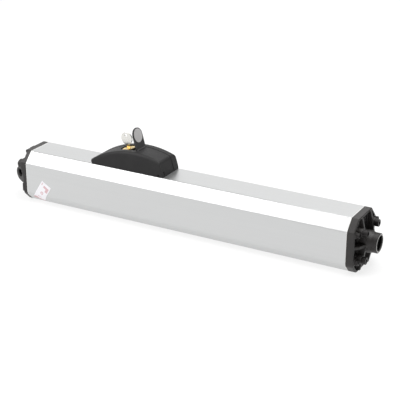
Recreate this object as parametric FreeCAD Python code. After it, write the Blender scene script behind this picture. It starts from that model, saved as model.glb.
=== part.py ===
import FreeCAD, Part
import math
import os

# Hydraulic swing operator. Millimetres, +X from the rear pivot towards the rod, +Z up.
# The origin is the centre of the rear pivot eye, on the axis of the cylinder.

V = FreeCAD.Vector
X_AXIS = V(1, 0, 0)
Y_AXIS = V(0, 1, 0)

# General fits
running = 0.05            # radial gap of a shaft, piston or screw that turns or slides
slip = 0.1                # gap of a piece that is set in place and stays there
hair = 0.01               # how far a cut stands past a face it shares
past = 1.0                # how far a cutting tool, or a form that is joined on, runs past a face

# Tank
pivot_to_tank = 30.5
tank_length = 665.0
tank_width = 96.7
tank_height = 100.0
tank_wall = 3.2
top_chamfer_y = 19.1
top_chamfer_z = 19.8
bottom_chamfer = 18.2
top_corner_radius = 4.0
bottom_corner_radius = 11.0
port_inset = 7.35         # of the screw ports from the tank's sides
port_z = 25.0
port_radius = 6.2
gasket_thickness = 1.0
gasket_land = 7.2         # width of the gasket's rim

# Flanges
front_rim = 13.8
rear_rim = 8.5
rim_wall = 4.0
front_rim_round = 1.8     # round the rim's front edge
front_floor_drop = 3.5
rear_upper_pad = 4.5      # how far the thick parts of the rear rim stand proud
rear_lower_pad = 2.8
rear_notch_top = 15.5     # the pin's way out between the two side pads
rear_notch_bottom = -13.0
rear_lower_pad_end = -28.5
screw_head_clearance = 0.3
rear_screw_sink = 3.0
flange_screw_radius = 3.0
flange_screw_head_radius = 5.0
flange_screw_head = 6.0
flange_screw_reach = 22.0
screw_pad_radius = 6.0
head_chamfer = 0.45       # round the top of every socket head
socket_depth = 0.6        # of a socket head's height

# Nose and webs of the front flange
nose_reach = 42.5         # from the tank's end to the nose tip
nose_radius = 17.8
nose_bore_radius = 14.2
nose_bore_depth = 14.0
nose_ring_radius = 16.4
nose_ring_length = 6.0
nose_ring_stand = 0.3
nose_lip = 1.0
hub_radius = 20.0
hub_reach = 24.3
cone_reach = 32.3
web_thickness = 5.0
web_offset = 19.0
web_rim_reach = 20.3
web_corner = 3.0          # how far an upright web's end drops towards the rim
web_hub_reach = 25.0
side_web_reach = 27.3
side_web_end = 36.0
side_web_root = 12.0
side_web_shoulder = 16.0
web_root_z = 4.0
web_hub_z = 11.0
web_rim_z = 34.5
front_screw_pad = 5.0     # height of the pads under the flange screws
tie_rod_y = 26.5
tie_rod_z = 25.0
tie_rod_radius = 4.0
tie_rod_head_radius = 6.6
tie_rod_head = 8.0
tie_boss_radius = 7.6
tie_boss_reach = 22.5
vent_radius = 2.5
vent_height = 38.5
vent_head = 2.2
vent_head_radius = 4.25
vent_slot = 1.3
slot_half_width = 0.5     # of screwdriver slots
pocket_depth = 3.0
pocket_gap = 4.0          # half the rib left between two pockets
pocket_hub_wall = 2.0
pocket_boss_wall = 1.5
pocket_rim_wall = 1.0

# Rear flange
eye_radius = 14.0
eye_drop = 2.5            # the eye is thicker below its bore
eye_root_half_height = 19.0
eye_bore_radius = 8.0
eye_root_width = 84.0
eye_tip_width = 46.0
bush_bore_radius = 6.0
bush_length = 53.0
upper_boss_radius = 9.3
upper_boss_reach = 31.0
upper_boss_z = 18.0
plug_head_radius = 6.0
plug_head = 3.0
plug_thread_radius = 5.0
plug_thread = 20.0
rib_y = -8.0
rib_thickness = 12.0
rib_top_x = 15.0
rib_low_x = 3.0
eye_sink = 3.0            # how far the eye's root reaches into the rim
rear_floor_drop = 2.0
rear_pad_wall = 2.0
rear_upper_pad_top = 35.7
gland_inset = 22.35       # of the cable gland from the tank's side
gland_z = -31.0
gland_radius = 9.0
gland_reach = 14.0
gland_bore_radius = 4.0
gland_thread_radius = 7.0
gland_nut = 5.0
gland_nut_flats = 16.2
gland_collar = 5.0
gland_collar_radius = 7.2
gland_round = 1.5

# Release cover and lock
cover_setback = 46.5      # from the cover's rear tip to the valve block
cover_length = 159.9
cover_half_width = 29.0
cover_band_half_width = 13.0
cover_band_inset = 13.5
cover_peak_run = 95.5     # from the rear tip to the crown's highest point
cover_peak = 37.4         # above the tank's top
cover_arc_radius = 165.0
cover_tip_drop = 0.5      # of the rear tip below the start of the arch
cover_tip_inset = 4.0
cover_tip_crown = 1.5     # from the rear tip to the start of the arch
cover_end_lean = 8.0      # of the end face, from the foot to the crown
cover_end_radius = 7.0
cover_end_bulge = 1.0
cover_end_bend = 2.2
cover_edge_radius = 6.5
cover_tip_radius = 3.0
cover_end_corner = 3.0
arch_depth = 66.0         # the arch as a turned section, down from the crown
arch_turn = 120.0
arch_corner = 0.5
cover_band_drop = 0.5
cover_band_foot = 1.0
cover_wall = 3.0
cover_tray = 4.2
tray_joint = 0.5          # how far inner walls reach into the shell
boss_wall = 3.5
cradle_wall = 2.5
snap_slot_half = 1.1      # opening of a snap tongue in the end face
snap_slot_y = -22.0
snap_slot_low = 2.5
snap_slot_high = 9.0
base_thickness = 5.0
base_screw_radius = 2.5
base_screw_head_radius = 4.5
base_screw_head = 2.6
base_screw_round = 1.3
base_screw_arm = 2.7
base_screw_slot = 1.5
base_screw_reach = 3.0    # past the tank's wall
base_screw_inset = 14.0
base_screw_side = 8.0
base_end_room = 5.2       # from the foot of the cover's end face to the base plate
cover_screw_radius = 2.0
cover_screw_length = 9.0
cover_screw_sink = 0.8
cover_screw_socket = 1.1
cover_screw_socket_depth = 2.0
cover_screw_inset = 10.4
lock_run = 69.0           # from the cover's rear tip to the lock's face
lock_rise = 33.6          # of the lock's face above the tank
lock_tilt = 13.0
barrel_rim_radius = 12.5
barrel_rim = 3.0
barrel_radius = 10.5
barrel_length = 22.0
barrel_dish = 1.6
barrel_lip = 1.2
lock_plug_radius = 7.0
lock_plug_length = 24.0
keyway_width = 5.6
keyway_thickness = 2.2
keyway_depth = 20.0
key_blade_reach = 8.0
key_bow_radius = 12.0
key_bow_height = 18.5
key_bow_thickness = 2.4
key_hole_radius = 2.9
key_hole_rise = 6.2
key_edge = 0.4
key_bites = (1.2, 2.0, 1.0, 1.8)
key_bite_step = 3.5
key_bite_half = 0.9
key_tip_gap = 1.0
spindle_radius = 5.0
spindle_length = 46.0
needle_radius = 2.5
needle_length = 12.0
needle_tip = 3.0
needle_tip_radius = 0.6
spindle_groove_start = 22.0
spindle_groove = 3.0
spindle_groove_depth = 1.2
flap_length = 41.2
flap_width = 29.4
flap_thickness = 3.2
flap_hollow = 1.6
flap_hollow_room = 0.6    # round the lock's rim
flap_open_angle = 74.4    # above the cover's axis direction -X, as in the photo
flap_knuckle_radius = 2.8
flap_pin_radius = 1.2
flap_pin_drop = 1.5
flap_pin_reach = 2.0      # of the pin's bore past the flap's sides
flap_pin_gap = 0.2
flap_gap = 0.3
badge_radius = 12.9
badge_inset = 0.6
badge_thickness = 0.9
badge_round = 0.27

# Valve block and release bush
block_length = 86.0
block_half_width = 33.0
block_half_height = 32.0
tie_rod_thread = 18.0
bush_flange_radius = 20.0
bush_flange = 4.0
bush_neck_radius = 14.8
neck_seat_depth = 4.0
bypass_run = 64.0         # from the block's rear face
bypass_y = 14.0
bypass_radius = 5.0
bypass_depth = 30.0
bypass_head_height = 4.0
bypass_room = 1.0         # round the screws in the base plate
bypass_screw_length = 34.0
bypass_slot_half = 0.8
bypass_slot_depth = 2.0
bypass_seat_radius = 0.8
bypass_seat_depth = 3.0
bypass_seat_wall = 1.0
block_chamfer = 4.0
spindle_end_gap = 0.3
needle_end_gap = 0.5
pipe_socket = 8.0
pipe_end_gap = 2.0
spring_radius = 3.6
spring_wire = 0.6
spring_turns = 4.5
spring_points = 16        # points of the helix in one turn
ball_seat_share = 0.55    # of the ball's radius above the seat's edge
ball_radius = 3.0
filter_run = 36.0
filter_radius = 8.0
filter_length = 12.0
filter_stub_radius = 4.9
filter_stub = 6.0
filter_chamfer = 1.5
filter_grooves = 4
filter_groove_step = 2.4
filter_groove_first = 3.0
filter_groove_width = 1.0
filter_groove_depth = 0.8

# Cylinder
tube_seat = 8.0
bore_radius = 19.0
tube_radius = 22.5
head_length = 56.5
head_collar = 6.5
gallery_depth = 2.0
feed_half = 2.0
rod_radius = 10.0
rod_room = 1.0            # round the rod where it passes the flange
rod_retraction = 12.0     # depth of the rod's end inside the nose, rod fully in
rod_thread_radius = 5.1
rod_thread_depth = 26.0
guide_radius = 13.0
seal_length = 12.0
seal_groove = 1.5
seal_groove_width = 1.0
seal_lip = 1.2
wiper_length = 5.0
wiper_seat = 2.5
wiper_lip = 0.8
rod_chamfer = 1.0
piston_length = 25.0
piston_gap = 1.5          # between the rod's rear end and the valve block
nut_length = 10.0
nut_flats = 20.0
spigot_end = 1.0          # how far the rod's spigot shows behind its nut
rod_spigot_radius = 7.0
piston_seal_width = 4.0
piston_groove_depth = 3.0
guide_ring_width = 6.0
pipe_radius = 4.0
pipe_bore_radius = 2.6
pipe_z = -28.0
pipe_port_back = 28.5     # from the front flange to the pipe's upper end
pipe_bend = 6.0

# Pump
pump_length = 22.0
pump_half_width = 16.0
pump_top = 15.0
pump_bottom = 30.0
gear_teeth = 10
gear_module = 1.6
gear_length = 14.0
gear_tip_gap = 0.3
pump_plate = 4.0
pump_shaft_radius = 4.0
pump_shaft_tail = 3.0     # how far the gear shafts reach past the gears
tooth_addendum = 1.28
tooth_dedendum = 1.76
tooth_root_turn = 0.27    # half widths of a tooth, as parts of one tooth's turn
tooth_tip_turn = 0.1

# Motor
motor_radius = 38.0
motor_setback = 13.0      # from the rear flange to the motor
shield_length = 10.0
rear_winding_room = 15.5
front_winding_room = 2.0
coupling_gap = 1.0
pump_gap = 2.0
stator_length = 84.0
stator_bore_radius = 22.5
winding_length = 11.0
winding_outer_radius = 28.0
winding_inner_radius = 23.2
winding_round = 1.6
slot_count = 24           # slots of the stator core
slot_half = 0.9
slot_depth = 5.0
rotor_end_gap = 1.0
rotor_radius = 22.0
shaft_radius = 6.0
bearing_radius = 13.0
bearing_length = 8.0
adapter_plate = 9.0
adapter_wall = 3.5
motor_bolt_radius = 2.5
motor_bolt_circle = 34.0
motor_bolt_reach = 14.0
coupling_radius = 10.0
coupling_length = 15.0
coupling_waist = 3.0
coupling_waist_depth = 1.5
shaft_room = 1.0
shaft_end_gap = 0.5       # between the coupling's middle and either shaft
shield_floor = 1.5
spigot_radius = 22.8
spigot_wall = 4.0
post_wall = 3.0
window_half_width = 9.0
window_start_gap = 8.0
window_end_gap = 6.0
race_groove = 1.0
race_wall = 2.2
motor_bolt_head = 5.0
motor_bolt_head_radius = 4.5
motor_bolt_end_gap = 1.0

# Places that follow from the sizes above
tank_start = pivot_to_tank
tank_end = tank_start + tank_length
half_height = tank_height / 2
half_width = tank_width / 2
port_y = half_width - port_inset
gland_y = half_width - gland_inset
top_inside = half_height - tank_wall
front_face = tank_end + gasket_thickness
rear_face = tank_start - gasket_thickness
front_rim_end = front_face + front_rim
front_floor = front_rim_end - front_floor_drop
rear_rim_end = rear_face - rear_rim
rear_floor = rear_rim_end + rear_floor_drop
rear_screw_seat = rear_rim_end + rear_screw_sink
nose_end = tank_end + nose_reach
rod_end = nose_end - rod_retraction
head_start = front_face - head_length
pipe_port_x = front_face - pipe_port_back
shield_start = rear_face + motor_setback
stator_start = shield_start + shield_length + rear_winding_room
stator_end = stator_start + stator_length
adapter_start = stator_end + winding_length + front_winding_room
coupling_start = adapter_start + adapter_plate + coupling_gap
coupling_middle = coupling_start + coupling_length / 2
pump_start = coupling_start + coupling_length + pump_gap
block_start = pump_start + pump_length
block_end = block_start + block_length
bore_start = block_end - tube_seat
bypass_x = block_start + bypass_run
bypass_bottom = block_half_height - bypass_depth
filter_x = block_start + filter_run
gear_distance = gear_teeth * gear_module
cover_start = block_start - cover_setback
cover_end = cover_start + cover_length
cover_peak_x = cover_start + cover_peak_run
cover_screw_x = cover_end - cover_screw_inset
cover_band_start = cover_start + cover_band_inset
lock_x = cover_start + lock_run
lock_z = half_height + lock_rise
cover_top = half_height + cover_peak
base_start = cover_start + cover_tip_inset + cover_wall + slip
base_end = cover_end - base_end_room - slip
lock_down = V(math.sin(math.radians(lock_tilt)), 0, -math.cos(math.radians(lock_tilt)))
lock_face = V(lock_x, 0, lock_z)
hinge_point = V(cover_peak_x, 0, cover_top - flap_pin_drop)
arch_centre = V(cover_peak_x, 0, cover_top - cover_arc_radius)

os.makedirs("parts", exist_ok=True)


def rod_x(x0, x1, radius, y=0.0, z=0.0):
    """Cylinder along X from x0 to x1."""
    return Part.makeCylinder(radius, x1 - x0, V(x0, y, z), X_AXIS)


def ring_x(x0, x1, outer, inner, y=0.0, z=0.0):
    """Tube along X from x0 to x1."""
    return rod_x(x0, x1, outer, y, z).cut(rod_x(x0 - past, x1 + past, inner, y, z))


def box(x0, x1, y0, y1, z0, z1):
    """Box between two corners."""
    return Part.makeBox(x1 - x0, y1 - y0, z1 - z0, V(x0, y0, z0))


def on_lock(depth0, depth1, radius):
    """Cylinder on the lock's slanted axis; depths are measured down from the brass face."""
    start = lock_face + lock_down * depth0
    return Part.makeCylinder(radius, depth1 - depth0, start, lock_down)


def upright_hole(x, y, radius, z0, z1):
    """Upright cutting tool that runs past both heights."""
    return Part.makeCylinder(radius, z1 - z0 + 2 * past, V(x, y, z0 - past))


def fuse(shapes):
    """One solid from overlapping shapes."""
    first = shapes[0]
    return first.fuse(shapes[1:]).removeSplitter()


def cut(shape, tools):
    """Cut several tools from a shape."""
    return shape.cut(Part.makeCompound(tools))


def polygon_face(points):
    """Flat face from corner points."""
    return Part.Face(Part.makePolygon(points + [points[0]]))


def extrude_y(points, y0, y1):
    """Prism along Y over an outline given as (x, z) pairs."""
    face = polygon_face([V(x, y0, z) for x, z in points])
    return face.extrude(V(0, y1 - y0, 0))


def rounded_face(points, radii):
    """Flat face from corner points, each corner rounded with its own radius."""
    edges = []
    arcs = []
    for k, corner in enumerate(points):
        before = (points[k - 1] - corner).normalize()
        after = (points[(k + 1) % len(points)] - corner).normalize()
        half_angle = before.getAngle(after) / 2
        run = radii[k] / math.tan(half_angle)
        reach = radii[k] / math.sin(half_angle) - radii[k]
        middle = corner + (before + after).normalize() * reach
        arcs.append((corner + before * run, middle, corner + after * run))
    for k, (start, middle, end) in enumerate(arcs):
        edges.append(Part.LineSegment(arcs[k - 1][2], start).toShape())
        edges.append(Part.Arc(start, middle, end).toShape())
    return Part.Face(Part.Wire(edges))


def section(x, inset=0.0):
    """The tank's octagon at x, moved inwards by inset."""
    points = [
        V(x, -half_width, -half_height + bottom_chamfer),
        V(x, -half_width + bottom_chamfer, -half_height),
        V(x, half_width - bottom_chamfer, -half_height),
        V(x, half_width, -half_height + bottom_chamfer),
        V(x, half_width, half_height - top_chamfer_z),
        V(x, half_width - top_chamfer_y, half_height),
        V(x, -half_width + top_chamfer_y, half_height),
        V(x, -half_width, half_height - top_chamfer_z),
    ]
    face = rounded_face(points, [bottom_corner_radius] * 4 + [top_corner_radius] * 4)
    return face.makeOffset2D(-inset) if inset else face


def prism(x0, x1, inset=0.0):
    """The tank's octagon as a solid from x0 to x1."""
    return section(x0, inset).extrude(V(x1 - x0, 0, 0))


def corners(y, z):
    """The four mirrored places of a point."""
    return [(sy * y, sz * z) for sy in (-1, 1) for sz in (-1, 1)]


def hex_x(x0, x1, flats, y=0.0, z=0.0):
    """Hexagonal bar along X, measured across flats."""
    radius = flats / math.sqrt(3)
    points = []
    for k in range(6):
        turn = math.radians(60 * k + 30)
        points.append(V(x0, y + radius * math.cos(turn), z + radius * math.sin(turn)))
    return polygon_face(points).extrude(V(x1 - x0, 0, 0))


def socket_screw(x_seat, direction, shank, shank_radius, head, head_radius, y, z):
    """Socket head screw along X; the head stands off the seat against the shank's direction."""
    x_tip = x_seat + direction * shank
    x_top = x_seat - direction * head
    body = rod_x(min(x_seat, x_tip), max(x_seat, x_tip), shank_radius, y, z)
    cap = rod_x(min(x_seat, x_top), max(x_seat, x_top), head_radius, y, z)
    rim = [e for e in cap.Edges if abs(e.BoundBox.XMin - x_top) < hair and e.BoundBox.XLength < hair]
    cap = cap.makeChamfer(head_chamfer, rim)
    socket_floor = x_top + direction * head * socket_depth
    key_hole = hex_x(min(x_top, socket_floor), max(x_top, socket_floor), head_radius, y, z)
    return body.fuse(cap).cut(key_hole).removeSplitter()


def arc_height(x):
    """Height of the cover's crown above the origin at x."""
    run = x - cover_peak_x
    return arch_centre.z + math.sqrt(cover_arc_radius * cover_arc_radius - run * run)


# Tank and its gaskets
def make_tank():
    shell = prism(tank_start, tank_end).cut(prism(tank_start - past, tank_end + past, tank_wall))
    outer = prism(tank_start, tank_end)
    ports = [rod_x(tank_start, tank_end, port_radius, y, z) for y, z in corners(port_y, port_z)]
    shell = fuse([shell, Part.makeCompound(ports).common(outer)])
    holes = [
        rod_x(tank_start - past, tank_end + past, flange_screw_radius + running, y, z)
        for y, z in corners(port_y, port_z)
    ]
    neck_x = bush_centre_x()
    holes.append(upright_hole(neck_x, 0, bush_neck_radius + slip, top_inside, half_height))
    for y in (-bypass_y, bypass_y):
        holes.append(upright_hole(bypass_x, y, bypass_radius + running, top_inside, half_height))
    for x, y in base_screw_places():
        holes.append(upright_hole(x, y, base_screw_radius + running, top_inside, half_height))
    return cut(shell, holes)


def make_gasket(x0):
    x1 = x0 + gasket_thickness
    plate = prism(x0, x1).cut(prism(x0 - past, x1 + past, gasket_land))
    eyes = [rod_x(x0, x1, port_radius, y, z) for y, z in corners(port_y, port_z)]
    plate = fuse([plate, Part.makeCompound(eyes)])
    hole_radius = flange_screw_radius + slip
    holes = [rod_x(x0 - past, x1 + past, hole_radius, y, z) for y, z in corners(port_y, port_z)]
    return cut(plate, holes)


# Front flange
def web_up(y, sign):
    """Upright web from the hub to the rim, above (sign 1) or below (sign -1) the nose."""
    x0 = front_floor - past
    rim_z = half_height - rim_wall / 2
    outline = [
        (x0, sign * web_root_z),
        (tank_end + web_hub_reach, sign * web_root_z),
        (tank_end + web_hub_reach, sign * web_hub_z),
        (tank_end + web_rim_reach, sign * web_rim_z),
        (tank_end + web_rim_reach - web_corner, sign * rim_z),
        (x0, sign * rim_z),
    ]
    return extrude_y(outline, y - web_thickness / 2, y + web_thickness / 2)


def web_side(sign):
    """Level web from the hub towards the side rim."""
    x0 = front_floor - past
    points = [
        V(x0, sign * side_web_root, 0),
        V(tank_end + side_web_reach, sign * side_web_root, 0),
        V(tank_end + side_web_reach, sign * side_web_shoulder, 0),
        V(tank_end + web_rim_reach, sign * side_web_end, 0),
        V(x0, sign * (half_width - rim_wall / 2), 0),
    ]
    face = polygon_face(points)
    face.translate(V(0, 0, -web_thickness / 2))
    return face.extrude(V(0, 0, web_thickness))


def make_front_flange():
    solids = [prism(front_face, front_floor)]
    inside = prism(front_floor - 2 * past, front_rim_end + past, rim_wall)
    rim = prism(front_floor - past, front_rim_end)
    mouth = [e for e in rim.Edges if e.BoundBox.XMin > front_rim_end - hair]
    solids.append(rim.makeFillet(front_rim_round, mouth).cut(inside))
    solids.append(rod_x(front_floor - past, tank_end + hub_reach, hub_radius))
    cone_length = cone_reach - hub_reach
    cone = Part.makeCone(hub_radius, nose_radius, cone_length, V(tank_end + hub_reach, 0, 0), X_AXIS)
    solids.append(cone)
    nose = rod_x(front_floor - past, nose_end, nose_radius)
    tip = [e for e in nose.Edges if e.BoundBox.XMin > nose_end - hair]
    solids.append(nose.makeFillet(nose_lip, tip))
    for y in (-web_offset, web_offset):
        solids.append(web_up(y, 1))
        solids.append(web_up(y, -1))
    solids.append(web_side(1))
    solids.append(web_side(-1))
    for y, z in corners(tie_rod_y, tie_rod_z):
        solids.append(rod_x(front_floor - past, tank_end + tie_boss_reach, tie_boss_radius, y, z))
    for y, z in corners(port_y, port_z):
        pad = rod_x(front_floor - past, front_floor + front_screw_pad, screw_pad_radius, y, z)
        inner = prism(front_floor - past, front_floor + front_screw_pad, front_rim_round)
        solids.append(pad.common(inner))
    flange = fuse(solids)
    tools = [
        rod_x(nose_end - nose_bore_depth, nose_end + past, nose_bore_radius),
        rod_x(front_face - past, nose_end, rod_radius + rod_room),
    ]
    tools.append(rod_x(nose_end - nose_ring_length, nose_end + past, nose_ring_radius))
    for y, z in corners(tie_rod_y, tie_rod_z):
        tools.append(rod_x(front_face - past, nose_end, tie_rod_radius + slip, y, z))
        head_room = tie_rod_head_radius + screw_head_clearance
        tools.append(rod_x(tank_end + tie_boss_reach, nose_end, head_room, y, z))
    for y, z in corners(port_y, port_z):
        tools.append(rod_x(front_face - past, nose_end, flange_screw_radius + slip, y, z))
        head_room = flange_screw_head_radius + screw_head_clearance
        tools.append(rod_x(front_floor + front_screw_pad, nose_end, head_room, y, z))
    tools.append(rod_x(front_face - past, front_rim_end, vent_radius + slip, 0, vent_height))
    pocket_inner = hub_radius + pocket_hub_wall
    inner_y = web_offset + web_thickness / 2 + past
    deep = front_floor - pocket_depth - past
    screw_room = screw_pad_radius + pocket_rim_wall
    for sy in (-1, 1):
        for sz in (-1, 1):
            y0 = inner_y if sy > 0 else -half_width
            y1 = half_width if sy > 0 else -inner_y
            z0 = pocket_gap if sz > 0 else -half_height
            z1 = half_height if sz > 0 else -pocket_gap
            pocket = box(front_floor - pocket_depth, front_floor + hair, y0, y1, z0, z1)
            pocket = pocket.common(prism(deep, front_floor + past, rim_wall + pocket_rim_wall))
            boss = tie_boss_radius + pocket_boss_wall
            keep = [rod_x(deep, front_floor + past, pocket_inner)]
            keep.append(rod_x(deep, front_floor + past, boss, sy * tie_rod_y, sz * tie_rod_z))
            keep.append(rod_x(deep, front_floor + past, screw_room, sy * port_y, sz * port_z))
            tools.append(cut(pocket, keep))
    return cut(flange, tools)


def make_front_screws():
    seat = front_floor + front_screw_pad
    shank = seat - tank_end + flange_screw_reach
    return [
        socket_screw(seat, -1, shank, flange_screw_radius, flange_screw_head,
                     flange_screw_head_radius, y, z)
        for y, z in corners(port_y, port_z)
    ]


def make_tie_rods():
    seat = tank_end + tie_boss_reach
    shank = seat - block_end + tie_rod_thread
    return [
        socket_screw(seat, -1, shank, tie_rod_radius, tie_rod_head, tie_rod_head_radius, y, z)
        for y, z in corners(tie_rod_y, tie_rod_z)
    ]


def make_vent_screw():
    stem = rod_x(front_face, front_floor, vent_radius, 0, vent_height)
    head = rod_x(front_floor, front_floor + vent_head, vent_head_radius, 0, vent_height)
    top = front_floor + vent_head
    slot = box(top - vent_slot, top + past, -vent_head_radius - past, vent_head_radius + past,
               vent_height - slot_half_width, vent_height + slot_half_width)
    return stem.fuse(head).cut(slot).removeSplitter()


# Rear flange
def eye_body():
    """Pivot eye: round in side view, tapering towards its tip seen from above."""
    root_x = rear_rim_end + eye_sink
    flare = math.asin((eye_root_half_height - eye_radius) / root_x)
    tangent_x = -eye_radius * math.sin(flare)
    tangent_z = eye_radius * math.cos(flare)
    side = fuse([
        Part.makeCylinder(eye_radius, eye_root_width, V(0, -eye_root_width / 2, -eye_drop), Y_AXIS),
        extrude_y([
            (tangent_x, tangent_z - eye_drop),
            (root_x, eye_root_half_height - eye_drop),
            (root_x, -eye_root_half_height - eye_drop),
            (tangent_x, -tangent_z - eye_drop),
        ], -eye_root_width / 2, eye_root_width / 2),
    ])
    low = -eye_root_half_height - eye_drop - past
    plan = polygon_face([
        V(root_x, -eye_root_width / 2, low),
        V(-eye_radius - past, -eye_tip_width / 2, low),
        V(-eye_radius - past, eye_tip_width / 2, low),
        V(root_x, eye_root_width / 2, low),
    ]).extrude(V(0, 0, -2 * low))
    return side.common(plan)


def make_rear_flange():
    solids = [prism(rear_floor, rear_face)]
    inside = prism(rear_rim_end - past, rear_floor + 2 * past, rim_wall)
    solids.append(prism(rear_rim_end, rear_floor + past).cut(inside))
    pad_x = rear_rim_end - rear_upper_pad
    ring = prism(pad_x, rear_floor + past).cut(prism(pad_x - past, rear_floor + 2, rim_wall + rear_pad_wall))
    upper = extrude_y([
        (rear_floor + past, rear_upper_pad_top),
        (pad_x, rear_upper_pad_top),
        (pad_x, rear_notch_top),
        (rear_rim_end, 0),
        (rear_floor + past, 0),
    ], -half_width, half_width)
    low_x = rear_rim_end - rear_lower_pad
    lower = box(low_x, rear_floor + past, -half_width, half_width, rear_lower_pad_end, rear_notch_bottom)
    top_half = half_width - top_chamfer_y
    top = box(pad_x, rear_floor + past, -top_half, top_half, half_height - rim_wall - rear_pad_wall,
              half_height)
    solids.append(ring.common(fuse([upper, top])))
    solids.append(ring.common(lower))
    solids.append(eye_body())
    boss_end = tank_start - upper_boss_reach
    for sign in (-1, 1):
        solids.append(rod_x(boss_end, rear_floor + past, upper_boss_radius, sign * tie_rod_y, upper_boss_z))
    rib = extrude_y([
        (rear_floor + past, eye_radius / 2),
        (rib_low_x, eye_radius / 2),
        (rib_top_x, half_height - rim_wall),
        (rib_top_x, half_height),
        (rear_floor + past, half_height),
    ], rib_y - rib_thickness / 2, rib_y + rib_thickness / 2)
    solids.append(rib)
    solids.append(rod_x(tank_start - gland_reach, rear_floor + past, gland_radius, gland_y, gland_z))
    for y, z in corners(port_y, port_z):
        pad = rod_x(rear_rim_end, rear_floor + past, screw_pad_radius, y, z)
        solids.append(pad.common(prism(rear_rim_end - past, rear_floor + 2)))
    flange = fuse(solids)
    tools = [Part.makeCylinder(eye_bore_radius, 2 * half_width, V(0, -half_width, 0), Y_AXIS)]
    behind = boss_end - eye_radius
    head_room = flange_screw_head_radius + screw_head_clearance
    for y, z in corners(port_y, port_z):
        tools.append(rod_x(behind, rear_face + past, flange_screw_radius + slip, y, z))
        tools.append(rod_x(behind, rear_screw_seat, head_room, y, z))
    for sign in (-1, 1):
        hole_radius = plug_thread_radius + slip
        tools.append(rod_x(behind, rear_face + past, hole_radius, sign * tie_rod_y, upper_boss_z))
    tools.append(rod_x(behind, rear_face + past, gland_thread_radius + slip, gland_y, gland_z))
    return cut(flange, tools)


def make_rear_screws():
    shank = tank_start - rear_screw_seat + flange_screw_reach
    return [
        socket_screw(rear_screw_seat, 1, shank, flange_screw_radius, flange_screw_head,
                     flange_screw_head_radius, y, z)
        for y, z in corners(port_y, port_z)
    ]


def make_plug(y):
    seat = tank_start - upper_boss_reach
    return socket_screw(seat, 1, plug_thread, plug_thread_radius, plug_head, plug_head_radius,
                        y, upper_boss_z)


def make_pivot_bush():
    sleeve = Part.makeCylinder(eye_bore_radius - slip / 2, bush_length, V(0, -bush_length / 2, 0), Y_AXIS)
    bore = Part.makeCylinder(bush_bore_radius, bush_length + 2, V(0, -bush_length / 2 - past, 0), Y_AXIS)
    return sleeve.cut(bore)


def make_cable_gland():
    seat = tank_start - gland_reach
    thread = rod_x(seat, rear_face, gland_thread_radius, gland_y, gland_z)
    nut = hex_x(seat - gland_nut, seat, gland_nut_flats, gland_y, gland_z)
    end = seat - gland_nut - gland_collar
    collar = rod_x(end, seat - gland_nut, gland_collar_radius, gland_y, gland_z)
    rim = [e for e in collar.Edges if e.BoundBox.XMax < end + hair]
    collar = collar.makeFillet(gland_round, rim)
    bore = rod_x(end - past, rear_face + past, gland_bore_radius, gland_y, gland_z)
    return thread.fuse([nut, collar]).cut(bore).removeSplitter()


# Release cover, its base and screws
def cover_block(inset):
    """Arched block with sharp shoulders; inset makes the hollow inside."""
    half = cover_half_width - inset
    low = half_height - (past if inset else 0)
    x_tip = cover_start + inset
    x_top = cover_end - cover_end_lean - inset
    knee_x = x_top - cover_end_radius
    mid_x = (x_tip + knee_x) / 2
    start_x = x_tip + cover_tip_crown
    crown_start = V(start_x, -half, arc_height(start_x) - inset)
    crown_middle = V(mid_x, -half, arc_height(mid_x) - inset)
    crown_end = V(knee_x, -half, arc_height(knee_x) - inset)
    shoulder = V(x_top + cover_end_bulge, -half, crown_end.z - cover_end_radius)
    bend = V(x_top - cover_end_bend, -half, crown_end.z - cover_end_bend)
    foot = V(cover_end - inset, -half, low)
    heel = V(cover_start + cover_tip_inset + inset, -half, low)
    tip = V(x_tip, -half, arc_height(cover_start + cover_tip_crown) - cover_tip_drop)
    outline = Part.Wire([
        Part.LineSegment(heel, tip).toShape(),
        Part.LineSegment(tip, crown_start).toShape(),
        Part.Arc(crown_start, crown_middle, crown_end).toShape(),
        Part.Arc(crown_end, bend, shoulder).toShape(),
        Part.LineSegment(shoulder, foot).toShape(),
        Part.LineSegment(foot, heel).toShape(),
    ])
    return Part.Face(outline).extrude(V(0, 2 * half, 0))


def cover_outside():
    """The arched block with rounded shoulders along its crown and rounded upright corners."""
    low = cover_top - arch_depth
    half = cover_half_width
    slice_points = [
        V(cover_peak_x, -half, low),
        V(cover_peak_x, half, low),
        V(cover_peak_x, half, cover_top),
        V(cover_peak_x, -half, cover_top),
    ]
    slice_radii = [arch_corner, arch_corner, cover_edge_radius, cover_edge_radius]
    slice_face = rounded_face(slice_points, slice_radii)
    slice_face.rotate(arch_centre, Y_AXIS, -arch_turn / 2)
    arch = slice_face.revolve(arch_centre, Y_AXIS, arch_turn)
    plan_points = [
        V(cover_start, -half, half_height),
        V(cover_end, -half, half_height),
        V(cover_end, half, half_height),
        V(cover_start, half, half_height),
    ]
    plan_radii = [cover_tip_radius, cover_end_corner, cover_end_corner, cover_tip_radius]
    plan = rounded_face(plan_points, plan_radii).extrude(V(0, 0, cover_peak + past))
    return cover_block(0).common(arch).common(plan)


def flap_footprint(grow, z0, z1):
    """The dust flap's outline seen from above, as a solid from z0 to z1."""
    half = flap_width / 2 + grow
    straight = box(lock_x, cover_peak_x + flap_knuckle_radius, -half, half, z0, z1)
    round_end = Part.makeCylinder(half, z1 - z0, V(lock_x, 0, z0))
    return straight.fuse(round_end)


def arch_slab(top_drop, bottom_drop, half):
    """Slab that follows the cover's arch between two depths below the crown."""
    start = arch_centre - V(0, half, 0)
    outer = Part.makeCylinder(cover_arc_radius - top_drop, 2 * half, start, Y_AXIS)
    inner = Part.makeCylinder(cover_arc_radius - bottom_drop, 2 * half, start, Y_AXIS)
    return outer.cut(inner).common(box(cover_start, cover_end, -half, half, half_height, cover_top + past))


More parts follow.
